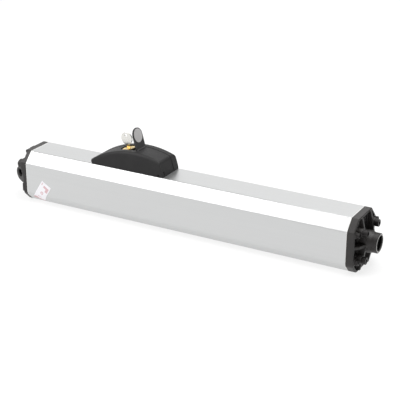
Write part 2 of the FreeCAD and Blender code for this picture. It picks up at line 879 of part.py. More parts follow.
def make_release_cover():
    hollow = cover_block(cover_wall)
    shell = cover_outside().cut(hollow)
    tray = arch_slab(cover_wall - past, cover_tray + 2 * cover_wall, half_width)
    tray = tray.common(flap_footprint(cover_wall, half_height, cover_top))
    boss = on_lock(cover_tray + past, barrel_length + 2 * past, barrel_radius + boss_wall)
    hinge = hinge_point
    half_cradle = flap_width / 2 + cradle_wall
    cradle = Part.makeCylinder(flap_knuckle_radius + cradle_wall, 2 * half_cradle,
                               hinge - V(0, half_cradle, 0), Y_AXIS)
    inner = cover_block(cover_wall - tray_joint)
    shell = fuse([shell, tray.common(inner), boss.common(inner), cradle.common(inner)])
    pocket = arch_slab(-past, cover_tray, half_width)
    pocket = pocket.common(flap_footprint(flap_gap, half_height, cover_top + past))
    half_room = flap_width / 2 + flap_gap
    knuckle_room = flap_knuckle_radius + flap_gap
    knuckle = Part.makeCylinder(knuckle_room, 2 * half_room, hinge - V(0, half_room, 0), Y_AXIS)
    above = box(hinge.x - knuckle_room, hinge.x + knuckle_room, -half_room, half_room, hinge.z,
                cover_top + past)
    half_pin = flap_width / 2 + flap_pin_reach
    pin = Part.makeCylinder(flap_pin_radius + running, 2 * half_pin, hinge - V(0, half_pin, 0), Y_AXIS)
    tools = [pocket, knuckle, above, pin]
    tools.append(on_lock(-2 * barrel_rim, barrel_rim, barrel_rim_radius + slip))
    tools.append(on_lock(0, barrel_length + 2 * cover_wall, barrel_radius + slip))
    for sign in (-1, 1):
        start = V(cover_screw_x, sign * (cover_half_width + past), half_height + base_thickness / 2)
        length = cover_wall + 2 * past
        tools.append(Part.makeCylinder(cover_screw_radius + slip, length, start, V(0, -sign, 0)))
    tools.append(box(cover_end - cover_end_lean - cover_wall, cover_end + past, snap_slot_y - snap_slot_half,
                     snap_slot_y + snap_slot_half, half_height + snap_slot_low,
                     half_height + snap_slot_high))
    half = cover_band_half_width
    low = half_height + cover_band_foot
    skin = cover_block(0).cut(cover_block(cover_band_drop))
    band = box(cover_band_start + half, cover_end + past, -half, half, low, cover_top + past)
    round_end = Part.makeCylinder(half, cover_top + past - low, V(cover_band_start + half, 0, low))
    tools.append(skin.common(band.fuse(round_end)))
    return cut(shell, tools)


def base_screw_places():
    y = cover_half_width - cover_wall - base_screw_side
    ends = (base_start + base_screw_inset, base_end - base_screw_inset)
    return [(x, s * y) for x in ends for s in (-1, 1)]


def bush_centre_x():
    """Where the lock's axis passes through the tank's top."""
    return lock_x + (lock_z - half_height) * math.tan(math.radians(lock_tilt))


def make_cover_base():
    half = cover_half_width - cover_wall - slip
    top = half_height + base_thickness
    plate = box(base_start, base_end, -half, half, half_height, top)
    tools = [upright_hole(bush_centre_x(), 0, bush_flange_radius + slip, half_height, top)]
    for side in (-bypass_y, bypass_y):
        tools.append(upright_hole(bypass_x, side, bypass_radius + bypass_room, half_height, top))
    for x, side in base_screw_places():
        tools.append(upright_hole(x, side, base_screw_radius + slip, half_height, top))
    for sign in (-1, 1):
        start = V(cover_screw_x, sign * cover_half_width, half_height + base_thickness / 2)
        tools.append(Part.makeCylinder(cover_screw_radius + slip, cover_screw_length + past,
                                       start, V(0, -sign, 0)))
    return cut(plate, tools)


def make_base_screw(x, y):
    """Screw pointing down with a low round head and a cross-shaped slot."""
    seat = half_height + base_thickness
    top = seat + base_screw_head
    shank = base_thickness + tank_wall + base_screw_reach
    stem = Part.makeCylinder(base_screw_radius, shank, V(x, y, seat - shank))
    cap = Part.makeCylinder(base_screw_head_radius, base_screw_head, V(x, y, seat))
    rim = [e for e in cap.Edges if e.BoundBox.ZMin > top - hair]
    cap = cap.makeFillet(base_screw_round, rim)
    arm = base_screw_arm
    half = slot_half_width
    low = top - base_screw_slot
    slot = box(x - arm, x + arm, y - half, y + half, low, top + past)
    cross = box(x - half, x + half, y - arm, y + arm, low, top + past)
    return stem.fuse(cap).cut(slot.fuse(cross)).removeSplitter()


def make_cover_screws():
    screws = []
    for sign in (-1, 1):
        start = V(cover_screw_x, sign * (cover_half_width - cover_screw_sink),
                  half_height + base_thickness / 2)
        way = V(0, -sign, 0)
        body = Part.makeCylinder(cover_screw_radius, cover_screw_length, start, way)
        screws.append(body.cut(Part.makeCylinder(cover_screw_socket, cover_screw_socket_depth, start, way)))
    return screws


# Lock, key and release parts
def make_lock_barrel():
    rim = on_lock(0, barrel_rim, barrel_rim_radius)
    body = on_lock(barrel_rim, barrel_length, barrel_radius)
    dish_start = lock_face - lock_down * hair
    dish = Part.makeCone(barrel_rim_radius - barrel_lip, lock_plug_radius, barrel_dish, dish_start,
                         lock_down)
    plug_hole = on_lock(-1, barrel_length + past, lock_plug_radius + running)
    return rim.fuse(body).cut(dish.fuse(plug_hole)).removeSplitter()


def lock_block(along0, along1, half_x, half_y, depth0, depth1):
    """Block in the lock's own frame: X' lies in the plane of the slant, depth runs down the axis."""
    shape = box(along0 - half_x, along1 + half_x, -half_y, half_y, -depth1, -depth0)
    shape.rotate(V(0, 0, 0), Y_AXIS, -lock_tilt)
    shape.translate(lock_face)
    return shape


def make_lock_plug():
    plug = on_lock(barrel_dish, lock_plug_length, lock_plug_radius)
    keyway = lock_block(0, 0, keyway_width / 2, keyway_thickness / 2, -1, keyway_depth)
    return plug.cut(keyway)


def make_key():
    blade_half = keyway_width / 2 - running
    blade = lock_block(0, 0, blade_half, keyway_thickness / 2 - running, -key_blade_reach,
                       keyway_depth - key_tip_gap)
    cuts = []
    for k, bite in enumerate(key_bites):
        depth = key_bite_step * (k + 1)
        cuts.append(lock_block(blade_half, blade_half, bite, keyway_thickness, depth - key_bite_half,
                               depth + key_bite_half))
    blade = cut(blade, cuts)
    half = key_bow_thickness / 2
    bow = Part.makeCylinder(key_bow_radius, key_bow_thickness, V(0, -half, key_bow_height), Y_AXIS)
    rims = [e for e in bow.Edges if e.BoundBox.YLength < hair and e.BoundBox.XLength > hair]
    bow = bow.makeChamfer(key_edge, rims)
    ring_hole = Part.makeCylinder(key_hole_radius, key_bow_thickness + 2,
                                  V(0, -half - past, key_bow_height + key_hole_rise), Y_AXIS)
    bow = bow.cut(ring_hole)
    bow.rotate(V(0, 0, 0), Y_AXIS, -lock_tilt)
    bow.translate(lock_face)
    neck = lock_block(0, 0, blade_half, half, -key_blade_reach, -key_blade_reach + past)
    return fuse([blade, neck, bow])


def make_release_spindle():
    start = lock_plug_length
    end = start + spindle_length
    stem = on_lock(start, end, spindle_radius)
    upper = start + spindle_groove_start
    lower = upper + spindle_groove
    groove = on_lock(upper, lower, spindle_radius + past)
    core = on_lock(upper - past, lower + past, spindle_radius - spindle_groove_depth)
    return stem.cut(groove.cut(core))


def make_release_needle():
    start = lock_plug_length + spindle_length
    shoulder = start + needle_length - needle_tip
    stem = on_lock(start, shoulder, needle_radius)
    tip = Part.makeCone(needle_radius, needle_tip_radius, needle_tip, lock_face + lock_down * shoulder,
                        lock_down)
    return stem.fuse(tip)


def make_release_bush():
    x = bush_centre_x()
    low = block_half_height - neck_seat_depth
    neck = Part.makeCylinder(bush_neck_radius, half_height - low, V(x, 0, low))
    top = Part.makeCylinder(bush_flange_radius, bush_flange, V(x, 0, half_height))
    bore = on_lock(0, lock_plug_length + spindle_length, spindle_radius + running)
    return neck.fuse(top).cut(bore).removeSplitter()


# Dust flap
def place_on_flap(shape):
    """Turns a shape drawn flat, reaching along -X with the badge side up, to the raised place."""
    shape.rotate(V(0, 0, 0), Y_AXIS, flap_open_angle)
    shape.translate(hinge_point)
    return shape


def make_dust_flap():
    half = flap_width / 2
    centre = flap_length - half
    low = -flap_thickness / 2
    plate = box(-centre, 0, -half, half, low, -low)
    tip = Part.makeCylinder(half, flap_thickness, V(-centre, 0, low))
    knuckle = Part.makeCylinder(flap_knuckle_radius, flap_width, V(0, -half, 0), Y_AXIS)
    hollow = Part.makeCylinder(barrel_rim_radius + flap_hollow_room, flap_hollow, V(-centre, 0, low))
    seat = Part.makeCylinder(badge_radius + slip, badge_inset, V(-centre, 0, -low - badge_inset))
    bore = Part.makeCylinder(flap_pin_radius + running, flap_width + 2, V(0, -half - past, 0), Y_AXIS)
    flap = fuse([plate, tip, knuckle]).cut(Part.makeCompound([hollow, seat, bore]))
    return place_on_flap(flap)


def make_flap_badge():
    centre = flap_length - flap_width / 2
    top = flap_thickness / 2 - badge_inset + badge_thickness
    disc = Part.makeCylinder(badge_radius, badge_thickness, V(-centre, 0, top - badge_thickness))
    rim = [e for e in disc.Edges if e.BoundBox.ZMin > top - hair]
    disc = disc.makeFillet(badge_round, rim)
    return place_on_flap(disc)


def make_flap_pin():
    half = flap_width / 2 + flap_pin_reach - flap_pin_gap
    return Part.makeCylinder(flap_pin_radius, 2 * half, hinge_point - V(0, half, 0), Y_AXIS)


# Valve block
def make_valve_block():
    block = box(block_start, block_end, -block_half_width, block_half_width,
                -block_half_height, block_half_height)
    upright = [e for e in block.Edges if e.BoundBox.XLength > block_length - 1]
    block = block.makeChamfer(block_chamfer, upright)
    x = bush_centre_x()
    spindle_end = lock_plug_length + spindle_length
    tools = [
        rod_x(block_end - tube_seat, block_end + past, tube_radius + slip),
        Part.makeCylinder(bush_neck_radius + slip, neck_seat_depth + past,
                          V(x, 0, block_half_height - neck_seat_depth)),
        on_lock(lock_plug_length, spindle_end + spindle_end_gap, spindle_radius + running),
        on_lock(spindle_end, spindle_end + needle_length + needle_end_gap, needle_radius + running),
    ]
    for y, z in corners(tie_rod_y, tie_rod_z):
        tools.append(rod_x(block_end - tie_rod_thread, block_end + past, tie_rod_radius + slip, y, z))
    for y, z in motor_bolt_places():
        hole_end = block_start + motor_bolt_reach
        tools.append(rod_x(block_start - past, hole_end, motor_bolt_radius + slip, y, z))
    for y in (-bypass_y, bypass_y):
        low = bypass_bottom
        tools.append(Part.makeCylinder(bypass_radius + running, bypass_depth + past, V(bypass_x, y, low)))
        tools.append(Part.makeCone(bypass_seat_radius, bypass_radius - bypass_seat_wall, bypass_seat_depth,
                                   V(bypass_x, y, low - bypass_seat_depth)))
    tools.append(Part.makeCylinder(filter_stub_radius + slip, filter_stub + 2 * past,
                                   V(filter_x, 0, -block_half_height - past)))
    tools.append(rod_x(bore_start - pipe_socket, block_end + past, pipe_radius + slip, 0, pipe_z))
    return cut(block, tools)


def make_bypass_screw(y):
    top = half_height + base_thickness + bypass_head_height
    stem = Part.makeCylinder(bypass_radius, bypass_screw_length, V(bypass_x, y, top - bypass_screw_length))
    wide = bypass_radius + past
    slot = box(bypass_x - wide, bypass_x + wide, y - bypass_slot_half, y + bypass_slot_half,
               top - bypass_slot_depth, top + past)
    return stem.cut(slot)


def ball_centre(y):
    return V(bypass_x, y, bypass_bottom + ball_radius * ball_seat_share)


def make_bypass_balls():
    return [Part.makeSphere(ball_radius, ball_centre(y)) for y in (-bypass_y, bypass_y)]


def make_bypass_springs():
    """A spring between each ball and its screw, as a wire along a smooth helix."""
    bottom = ball_centre(0).z + ball_radius + spring_wire + running
    screw_end = half_height + base_thickness + bypass_head_height - bypass_screw_length
    rise = (screw_end - spring_wire - running - bottom) / spring_turns
    points = []
    for k in range(int(spring_turns * spring_points) + 1):
        turn = k / spring_points
        angle = math.tau * turn
        points.append(V(spring_radius * math.cos(angle), spring_radius * math.sin(angle), rise * turn))
    line = Part.BSplineCurve()
    line.interpolate(points)
    way = V(0, spring_radius, rise / math.tau)
    circle = Part.Wire([Part.makeCircle(spring_wire, points[0], way)])
    coil = Part.Wire([line.toShape()]).makePipeShell([circle], True, False)
    springs = []
    for y in (-bypass_y, bypass_y):
        springs.append(coil.translated(V(bypass_x, y, bottom)))
    return springs


def make_suction_filter():
    z = -block_half_height
    basket = Part.makeCylinder(filter_radius, filter_length, V(filter_x, 0, z - filter_length))
    low = [e for e in basket.Edges if e.BoundBox.ZMax < z - filter_length + hair]
    basket = basket.makeChamfer(filter_chamfer, low)
    grooves = []
    inner = filter_radius - filter_groove_depth
    for k in range(filter_grooves):
        low = V(filter_x, 0, z - filter_groove_first - filter_groove_step * k - filter_groove_width)
        ring = Part.makeCylinder(filter_radius + past, filter_groove_width, low)
        grooves.append(ring.cut(Part.makeCylinder(inner, filter_groove_width, low)))
    stub = Part.makeCylinder(filter_stub_radius, filter_stub, V(filter_x, 0, z))
    return cut(basket, grooves).fuse(stub).removeSplitter()


# Cylinder, rod and piston
def make_cylinder_tube():
    end = front_face - head_collar
    tube = ring_x(bore_start, end, tube_radius, bore_radius)
    port = Part.makeCylinder(pipe_radius + slip, tube_radius, V(pipe_port_x, 0, -tube_radius - past))
    return tube.cut(port)


def make_cylinder_head():
    end = front_face
    collar = rod_x(end - head_collar, end, tube_radius)
    plug = rod_x(head_start, end - head_collar + past, bore_radius - slip)
    bore = rod_x(head_start - past, end + past, guide_radius + slip)
    half_gallery = pipe_radius + past
    gallery = ring_x(pipe_port_x - half_gallery, pipe_port_x + half_gallery, bore_radius + past,
                     bore_radius - gallery_depth)
    feed = box(head_start - past, pipe_port_x, -feed_half, feed_half, -bore_radius - past,
               -bore_radius + gallery_depth)
    return collar.fuse(plug).cut(Part.makeCompound([bore, gallery, feed])).removeSplitter()


def make_guide_bush():
    end = front_face - seal_length
    return ring_x(head_start, end, guide_radius, rod_radius + running)


def make_rod_seal():
    end = front_face
    body = ring_x(end - seal_length, end, guide_radius, rod_radius + running)
    groove = ring_x(end - seal_groove, end + past, rod_radius + seal_lip + seal_groove_width,
                    rod_radius + seal_lip)
    return body.cut(groove)


def make_rod_wiper():
    start = nose_end - nose_bore_depth
    outer = nose_bore_radius - slip / 2
    lip = Part.makeCone(outer, rod_radius + wiper_lip, wiper_length, V(start, 0, 0), X_AXIS)
    seat = rod_x(start, start + wiper_seat, outer)
    return lip.fuse(seat).cut(rod_x(start - past, nose_end, rod_radius + running)).removeSplitter()


def make_nose_ring():
    return ring_x(nose_end - nose_ring_length, nose_end + nose_ring_stand, nose_ring_radius - slip / 2,
                  nose_bore_radius)


def piston_start():
    return bore_start + piston_gap + nut_length + spigot_end


def make_piston_rod():
    start = bore_start + piston_gap
    shoulder = piston_start() + piston_length
    spigot = rod_x(start, shoulder, rod_spigot_radius)
    shaft = rod_x(shoulder, rod_end, rod_radius)
    tip = [e for e in shaft.Edges if e.BoundBox.XMin > rod_end - hair]
    shaft = shaft.makeChamfer(rod_chamfer, tip)
    thread = rod_x(rod_end - rod_thread_depth, rod_end + past, rod_thread_radius)
    mouth = Part.makeCone(rod_thread_radius, rod_thread_radius + rod_chamfer, rod_chamfer,
                          V(rod_end - rod_chamfer, 0, 0), X_AXIS)
    return spigot.fuse(shaft).cut(thread.fuse(mouth)).removeSplitter()


def piston_grooves():
    """Start and width of the piston's grooves: two seals with the guide ring between them."""
    x = piston_start()
    gap = (piston_length - 2 * piston_seal_width - guide_ring_width) / 4
    first = x + gap
    second = first + piston_seal_width + gap
    third = second + guide_ring_width + gap
    return [(first, piston_seal_width), (second, guide_ring_width), (third, piston_seal_width)]


def make_piston():
    x = piston_start()
    body = ring_x(x, x + piston_length, bore_radius - running * 2, rod_spigot_radius + running)
    grooves = [
        ring_x(start, start + width, bore_radius + past, bore_radius - piston_groove_depth)
        for start, width in piston_grooves()
    ]
    return cut(body, grooves)


def groove_ring(place):
    start, width = place
    return ring_x(start + running, start + width - running, bore_radius - running,
                  bore_radius - piston_groove_depth + running)


def make_piston_nut():
    start = piston_start() - nut_length
    return hex_x(start, piston_start(), nut_flats).cut(
        rod_x(start - past, piston_start() + past, rod_spigot_radius + running))


def make_pressure_pipe():
    start = V(bore_start - pipe_socket + pipe_end_gap, 0, pipe_z)
    bend_start = V(pipe_port_x - pipe_bend, 0, pipe_z)
    cut_in = pipe_bend * (1 - math.sqrt(0.5))
    corner = V(pipe_port_x - cut_in, 0, pipe_z + cut_in)
    bend_end = V(pipe_port_x, 0, pipe_z + pipe_bend)
    end = V(pipe_port_x, 0, -bore_radius - slip * 2)
    path = Part.Wire([
        Part.LineSegment(start, bend_start).toShape(),
        Part.Arc(bend_start, corner, bend_end).toShape(),
        Part.LineSegment(bend_end, end).toShape(),
    ])
    outer = path.makePipeShell([Part.Wire([Part.makeCircle(pipe_radius, start, X_AXIS)])], True, True)
    inner = path.makePipeShell([Part.Wire([Part.makeCircle(pipe_bore_radius, start, X_AXIS)])], True, True)
    return outer.cut(inner)


# Pump
def gear_outline(x, centre_z, phase):
    """Closed tooth outline in the YZ plane with straight flanks and room for backlash."""
    pitch_radius = gear_distance / 2
    tip = pitch_radius + tooth_addendum
    root = pitch_radius - tooth_dedendum
    step = 360 / gear_teeth
    points = []
    for k in range(gear_teeth):
        middle = phase + k * step
        flanks = (
            (-tooth_root_turn, root),
            (-tooth_tip_turn, tip),
            (tooth_tip_turn, tip),
            (tooth_root_turn, root),
        )
        for turn, radius in flanks:
            angle = math.radians(middle + turn * step)
            points.append(V(x, radius * math.sin(angle), centre_z + radius * math.cos(angle)))
    return points


def make_gear(centre_z, phase):
    start = pump_start + pump_plate
    outline = polygon_face(gear_outline(start + running, centre_z, phase))
    return outline.extrude(V(gear_length - 2 * running, 0, 0))


def idler_phase():
    """The idler shows a gap where the drive gear points a tooth at it."""
    return 180 / gear_teeth


def make_drive_gear():
    start = pump_start + pump_plate
    return make_gear(0, 0).cut(rod_x(start, start + gear_length, pump_shaft_radius + slip / 2))


def make_idler_gear():
    start = pump_start + pump_plate
    pin = rod_x(start - pump_shaft_tail, start + gear_length + pump_shaft_tail, pump_shaft_radius, 0,
                -gear_distance)
    return make_gear(-gear_distance, idler_phase()).fuse(pin).removeSplitter()


def make_pump_housing():
    start = pump_start + pump_plate
    block = box(start, block_start, -pump_half_width, pump_half_width, -pump_bottom, pump_top)
    tip = gear_distance / 2 + tooth_addendum + gear_tip_gap
    tail = start + gear_length + pump_shaft_tail + slip
    tools = [
        rod_x(start - past, start + gear_length, tip, 0, 0),
        rod_x(start - past, start + gear_length, tip, 0, -gear_distance),
        rod_x(start, tail, pump_shaft_radius + running, 0, 0),
        rod_x(start, tail, pump_shaft_radius + running, 0, -gear_distance),
    ]
    return cut(block, tools)


def make_pump_cover():
    start = pump_start
    plate = box(start, start + pump_plate, -pump_half_width, pump_half_width, -pump_bottom, pump_top)
    tools = [
        rod_x(start - past, start + pump_plate + past, pump_shaft_radius + running),
        rod_x(start + pump_plate - pump_shaft_tail - slip, start + pump_plate + past,
              pump_shaft_radius + running, 0, -gear_distance),
    ]
    return cut(plate, tools)


# Motor
def motor_bolt_places():
    reach = motor_bolt_circle * math.sqrt(0.5)
    return corners(reach, reach)


def bolt_holes(x0, x1):
    return [rod_x(x0, x1, motor_bolt_radius + slip, y, z) for y, z in motor_bolt_places()]


def make_stator_core():
    core = ring_x(stator_start, stator_end, motor_radius, stator_bore_radius)
    step = 360 / slot_count
    slots = []
    for k in range(slot_count):
        slot = box(stator_start - past, stator_end + past, -slot_half, slot_half, stator_bore_radius - past,
                   winding_inner_radius + slot_depth)
        slot.rotate(V(0, 0, 0), X_AXIS, (k + 0.5) * step)
        slots.append(slot)
    return cut(core, slots + bolt_holes(stator_start - past, stator_end + past))


def make_winding(x0, x1, far):
    """Ring of wire on one end of the stator, rounded at its far end."""
    ring = ring_x(x0, x1, winding_outer_radius, winding_inner_radius)
    edges = [e for e in ring.Edges if abs(e.BoundBox.XMin - far) < hair and e.BoundBox.XLength < hair]
    return ring.makeFillet(winding_round, edges)


def make_windings():
    rear = stator_start - winding_length
    front = stator_end + winding_length
    return [make_winding(rear, stator_start, rear), make_winding(stator_end, front, front)]


def make_rotor_core():
    return ring_x(stator_start + rotor_end_gap, stator_end - rotor_end_gap, rotor_radius,
                  shaft_radius + slip / 2)


def make_motor_shaft():
    return rod_x(shield_start + shield_floor, coupling_middle - shaft_end_gap, shaft_radius)


def make_coupling():
    start = coupling_start
    end = start + coupling_length
    half_waist = coupling_waist / 2
    body = rod_x(start, end, coupling_radius)
    motor_side = rod_x(start - past, coupling_middle, shaft_radius + slip / 2)
    pump_side = rod_x(coupling_middle - past, end + past, pump_shaft_radius + slip / 2)
    waist = ring_x(coupling_middle - half_waist, coupling_middle + half_waist, coupling_radius + past,
                   coupling_radius - coupling_waist_depth)
    return cut(body, [motor_side, pump_side, waist])


def make_pump_shaft():
    end = pump_start + pump_plate + gear_length + pump_shaft_tail
    return rod_x(coupling_middle + shaft_end_gap, end, pump_shaft_radius)


def make_motor_adapter():
    """Front shield of the motor with a skirt that reaches the valve block round the pump."""
    start = adapter_start
    plate = rod_x(start, start + adapter_plate, motor_radius)
    skirt = ring_x(start, block_start, motor_radius, motor_radius - adapter_wall)
    spacer = ring_x(stator_end, start + past, motor_radius, motor_radius - adapter_wall)
    posts = []
    for y, z in motor_bolt_places():
        posts.append(rod_x(stator_end, block_start, motor_bolt_radius + post_wall, y, z))
    post_solid = Part.makeCompound(posts).common(rod_x(stator_end, block_start, motor_radius))
    body = fuse([plate, skirt, spacer, post_solid])
    tools = bolt_holes(stator_start, block_start + past)
    tools.append(rod_x(start - past, start + bearing_length, bearing_radius + slip))
    tools.append(rod_x(start, start + adapter_plate + past, shaft_radius + shaft_room))
    window = box(start + adapter_plate + window_start_gap, block_start - window_end_gap,
                 -window_half_width, window_half_width, -motor_radius - past, motor_radius + past)
    tools.append(window)
    return cut(body, tools)


def make_rear_shield():
    start = shield_start
    plate = rod_x(start, start + shield_length, motor_radius)
    skirt = ring_x(start, stator_start, motor_radius, motor_radius - adapter_wall)
    spigot = ring_x(rear_face, start + past, spigot_radius, spigot_radius - spigot_wall)
    posts = []
    for y, z in motor_bolt_places():
        posts.append(rod_x(start, stator_start, motor_bolt_radius + post_wall, y, z))
    post_solid = Part.makeCompound(posts).common(rod_x(start, stator_start, motor_radius))
    body = fuse([plate, skirt, spigot, post_solid])
    tools = bolt_holes(start - past, stator_start + past)
    tools.append(rod_x(start + shield_floor, start + shield_length + past, bearing_radius + slip))
    return cut(body, tools)


def make_bearings():
    rear = shield_start + shield_length - bearing_length
    front = adapter_start
    rings = []
    outer = bearing_radius - race_wall
    inner = shaft_radius + race_wall
    for x in (rear, front):
        end = x + bearing_length
        race = ring_x(x, end, bearing_radius, shaft_radius + running)
        groove = ring_x(x - past, x + race_groove, outer, inner)
        back = ring_x(end - race_groove, end + past, outer, inner)
        rings.append(race.cut(groove.fuse(back)))
    return rings


def make_motor_bolts():
    shank = block_start + motor_bolt_reach - motor_bolt_end_gap - shield_start
    return [
        socket_screw(shield_start, 1, shank, motor_bolt_radius, motor_bolt_head,
                     motor_bolt_head_radius, y, z)
        for y, z in motor_bolt_places()
    ]


nodes = {
    "tank_extrusion": [make_tank()],
    "front_gasket": [make_gasket(tank_end)],
    "rear_gasket": [make_gasket(rear_face)],
    "front_flange": [make_front_flange()],
    "front_flange_screws": make_front_screws(),
    "tie_rods": make_tie_rods(),
    "vent_screw": [make_vent_screw()],
    "rear_flange": [make_rear_flange()],
    "rear_flange_screws": make_rear_screws(),
    "oil_filler_plug": [make_plug(-tie_rod_y)],
    "breather_plug": [make_plug(tie_rod_y)],
    "pivot_bush": [make_pivot_bush()],
    "cable_gland": [make_cable_gland()],
    "release_cover": [make_release_cover()],
    "cover_base": [make_cover_base()],
    "base_screws": [make_base_screw(x, y) for x, y in base_screw_places()],
    "cover_screws": make_cover_screws(),
    "lock_barrel": [make_lock_barrel()],
    "lock_plug": [make_lock_plug()],
    "key": [make_key()],
    "release_spindle": [make_release_spindle()],
    "release_needle": [make_release_needle()],
    "release_bush": [make_release_bush()],
    "dust_flap": [make_dust_flap()],
    "flap_badge": [make_flap_badge()],
    "flap_pin": [make_flap_pin()],
    "valve_block": [make_valve_block()],
    "bypass_screw_opening": [make_bypass_screw(-bypass_y)],
    "bypass_screw_closing": [make_bypass_screw(bypass_y)],
    "bypass_springs": make_bypass_springs(),
    "bypass_balls": make_bypass_balls(),
    "suction_filter": [make_suction_filter()],
    "cylinder_tube": [make_cylinder_tube()],
    "cylinder_head": [make_cylinder_head()],
    "rod_guide_bush": [make_guide_bush()],
    "rod_seal": [make_rod_seal()],
    "rod_wiper": [make_rod_wiper()],
    "nose_ring": [make_nose_ring()],
    "pressure_pipe": [make_pressure_pipe()],
    "piston_rod": [make_piston_rod()],
    "piston": [make_piston()],
    "piston_seals": [groove_ring(piston_grooves()[0]), groove_ring(piston_grooves()[2])],
    "piston_guide_ring": [groove_ring(piston_grooves()[1])],
    "piston_nut": [make_piston_nut()],
    "pump_housing": [make_pump_housing()],
    "pump_cover": [make_pump_cover()],
    "pump_drive_gear": [make_drive_gear()],
    "pump_idler_gear": [make_idler_gear()],
    "pump_shaft": [make_pump_shaft()],
    "motor_adapter": [make_motor_adapter()],
    "stator_core": [make_stator_core()],
    "stator_windings": make_windings(),
    "rotor_core": [make_rotor_core()],
    "motor_shaft": [make_motor_shaft()],
    "motor_bearings": make_bearings(),
    "motor_rear_shield": [make_rear_shield()],
    "motor_bolts": make_motor_bolts(),
    "shaft_coupling": [make_coupling()],
}

for name, solids in nodes.items():
    shape = solids[0] if len(solids) == 1 else Part.makeCompound(solids)
    if not shape.isValid():
        print("not valid:", name)
    if len(shape.Solids) != len(solids):
        print("solid count:", name, len(shape.Solids), "expected", len(solids))
    shape.exportStep("parts/" + name + ".step")
print(len(nodes), "nodes")
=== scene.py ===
"""Dresses the hydraulic swing door operator.

The CAD nodes get their finishes, the castings, the key and the flap get soft edges, a paper sticker
goes on the tank, and a studio is set up round the part.
"""

import math

import bmesh
import bpy
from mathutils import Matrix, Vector


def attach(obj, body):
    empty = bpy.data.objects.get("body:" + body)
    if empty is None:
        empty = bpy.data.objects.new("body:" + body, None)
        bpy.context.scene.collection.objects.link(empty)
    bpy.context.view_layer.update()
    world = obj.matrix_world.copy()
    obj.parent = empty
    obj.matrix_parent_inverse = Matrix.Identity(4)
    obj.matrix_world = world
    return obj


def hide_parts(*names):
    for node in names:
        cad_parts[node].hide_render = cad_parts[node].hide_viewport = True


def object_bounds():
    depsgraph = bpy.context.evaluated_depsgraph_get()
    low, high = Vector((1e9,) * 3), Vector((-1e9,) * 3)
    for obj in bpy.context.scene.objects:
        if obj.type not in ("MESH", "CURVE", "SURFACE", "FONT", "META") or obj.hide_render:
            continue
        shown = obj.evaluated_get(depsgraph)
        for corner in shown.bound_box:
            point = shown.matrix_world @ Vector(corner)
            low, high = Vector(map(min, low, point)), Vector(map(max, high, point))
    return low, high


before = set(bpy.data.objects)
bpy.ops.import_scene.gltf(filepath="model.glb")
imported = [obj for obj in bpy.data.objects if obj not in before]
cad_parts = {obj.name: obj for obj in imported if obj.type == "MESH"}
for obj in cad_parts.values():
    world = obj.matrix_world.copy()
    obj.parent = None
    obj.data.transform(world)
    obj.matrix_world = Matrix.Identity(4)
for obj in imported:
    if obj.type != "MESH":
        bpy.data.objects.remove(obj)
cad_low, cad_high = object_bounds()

bl_info = {
    "name": "Hydraulic swing door operator",
    "version": (1, 0, 0),
    "blender": (4, 5, 0),
    "location": "View3D > Sidebar > Door operator",
    "description": "Finishes, castings, cover, lock and sticker of a hydraulic swing door operator",
    "category": "Object",
}

MM = 0.001

# Where the release lock stands, and how far it leans to the rear
LOCK_CENTRE = Vector((236.5, 0.0, 83.6)) * MM
LOCK_TILT = math.radians(13.0)
LOCK_AXIS = Vector((-math.sin(LOCK_TILT), 0.0, math.cos(LOCK_TILT)))

ALONG = Vector((1.0, 0.0, 0.0))
UP = Vector((0.0, 0.0, 1.0))
MIDDLE = Vector((0.0, 0.0, 0.0))

# How far along the tank the front casting and its painted shade start, and where its recess ends at
# the rim, past which the painted shade on faces turned to the front end is halved
FRONT_CASTING = (700.0 * MM, 702.0 * MM)
RECESS_EDGE = (708.0 * MM, 709.5 * MM)

# Distances from the nose's middle line at which a look starts or ends: the casting's bore, painted
# dark as painted shade, the ring's inner wall, painted lighter near the mouth as painted light, and
# the bright band on the ring's face, outside which the ring is painted black as painted shade
NOSE_BORE = (14.5 * MM, 15.0 * MM)
RING_WALL = (14.25 * MM, 14.3 * MM)
BAND_START = (14.3 * MM, 14.7 * MM)
BAND_END = (15.8 * MM, 16.3 * MM)

# How far along the tank light starts to reach the ring's inner wall; from there on the wall is
# painted lighter, a painted light
RING_MOUTH = (734.0 * MM, 737.5 * MM)

# How far from the lock's face the key's brass blade ends and its plated bow starts
BOW_START = (7.0 * MM, 7.6 * MM)

# Dull and bright tone of hard chrome
CHROME_DULL = (0.66, 0.67, 0.69)
CHROME_BRIGHT = (0.78, 0.79, 0.80)

# How the mesh of a casting is softened and thinned
CAST_SMOOTHING = 0.5
CAST_PASSES = 3
CAST_FACES_KEPT = 0.6

# How the edges of a stamped or moulded piece are broken
WELD_DISTANCE = 0.001 * MM
FLAT_ANGLE = math.radians(0.5)
SHARP_ANGLE = math.radians(30.0)
EDGE_STEPS = 3

# Sockets of a Mix node that mixes colours. Other sockets of the node have the same names.
MIX_FIRST = 6
MIX_SECOND = 7
MIX_RESULT = 2

WHITE = (1.0, 1.0, 1.0, 1.0)

# Half width of the floor, its cells along each side, and the gap between it and the part
FLOOR_HALF = 20.0
FLOOR_CELLS = 24
FLOOR_GAP = 0.2 * MM

# Soft boxes: name, place from the part's middle, width, depth, and the setting with the power
SOFT_BOXES = (
    ("soft_box_key", (-1.15, -0.85, 1.55), 1.6, 1.4, "key_light"),
    ("soft_box_top", (0.5, 0.3, 1.9), 2.2, 1.6, "top_light"),
    ("soft_box_front", (-1.5, -2.1, 0.75), 2.6, 1.5, "front_light"),
    ("soft_box_back", (-1.2, 2.2, 1.0), 3.4, 1.8, "back_light"),
)

# Where the camera of the photograph stood, how far it was turned and tilted, and its lens
CAMERA_PLACE = Vector((1.3328, -1.6862, 0.8118))
CAMERA_TURN = math.radians(29.25)
CAMERA_FALL = math.radians(22.56)
CAMERA_LENS = 102.8
SENSOR_WIDTH = 36.0


# ---------------------------------------------------------------- settings

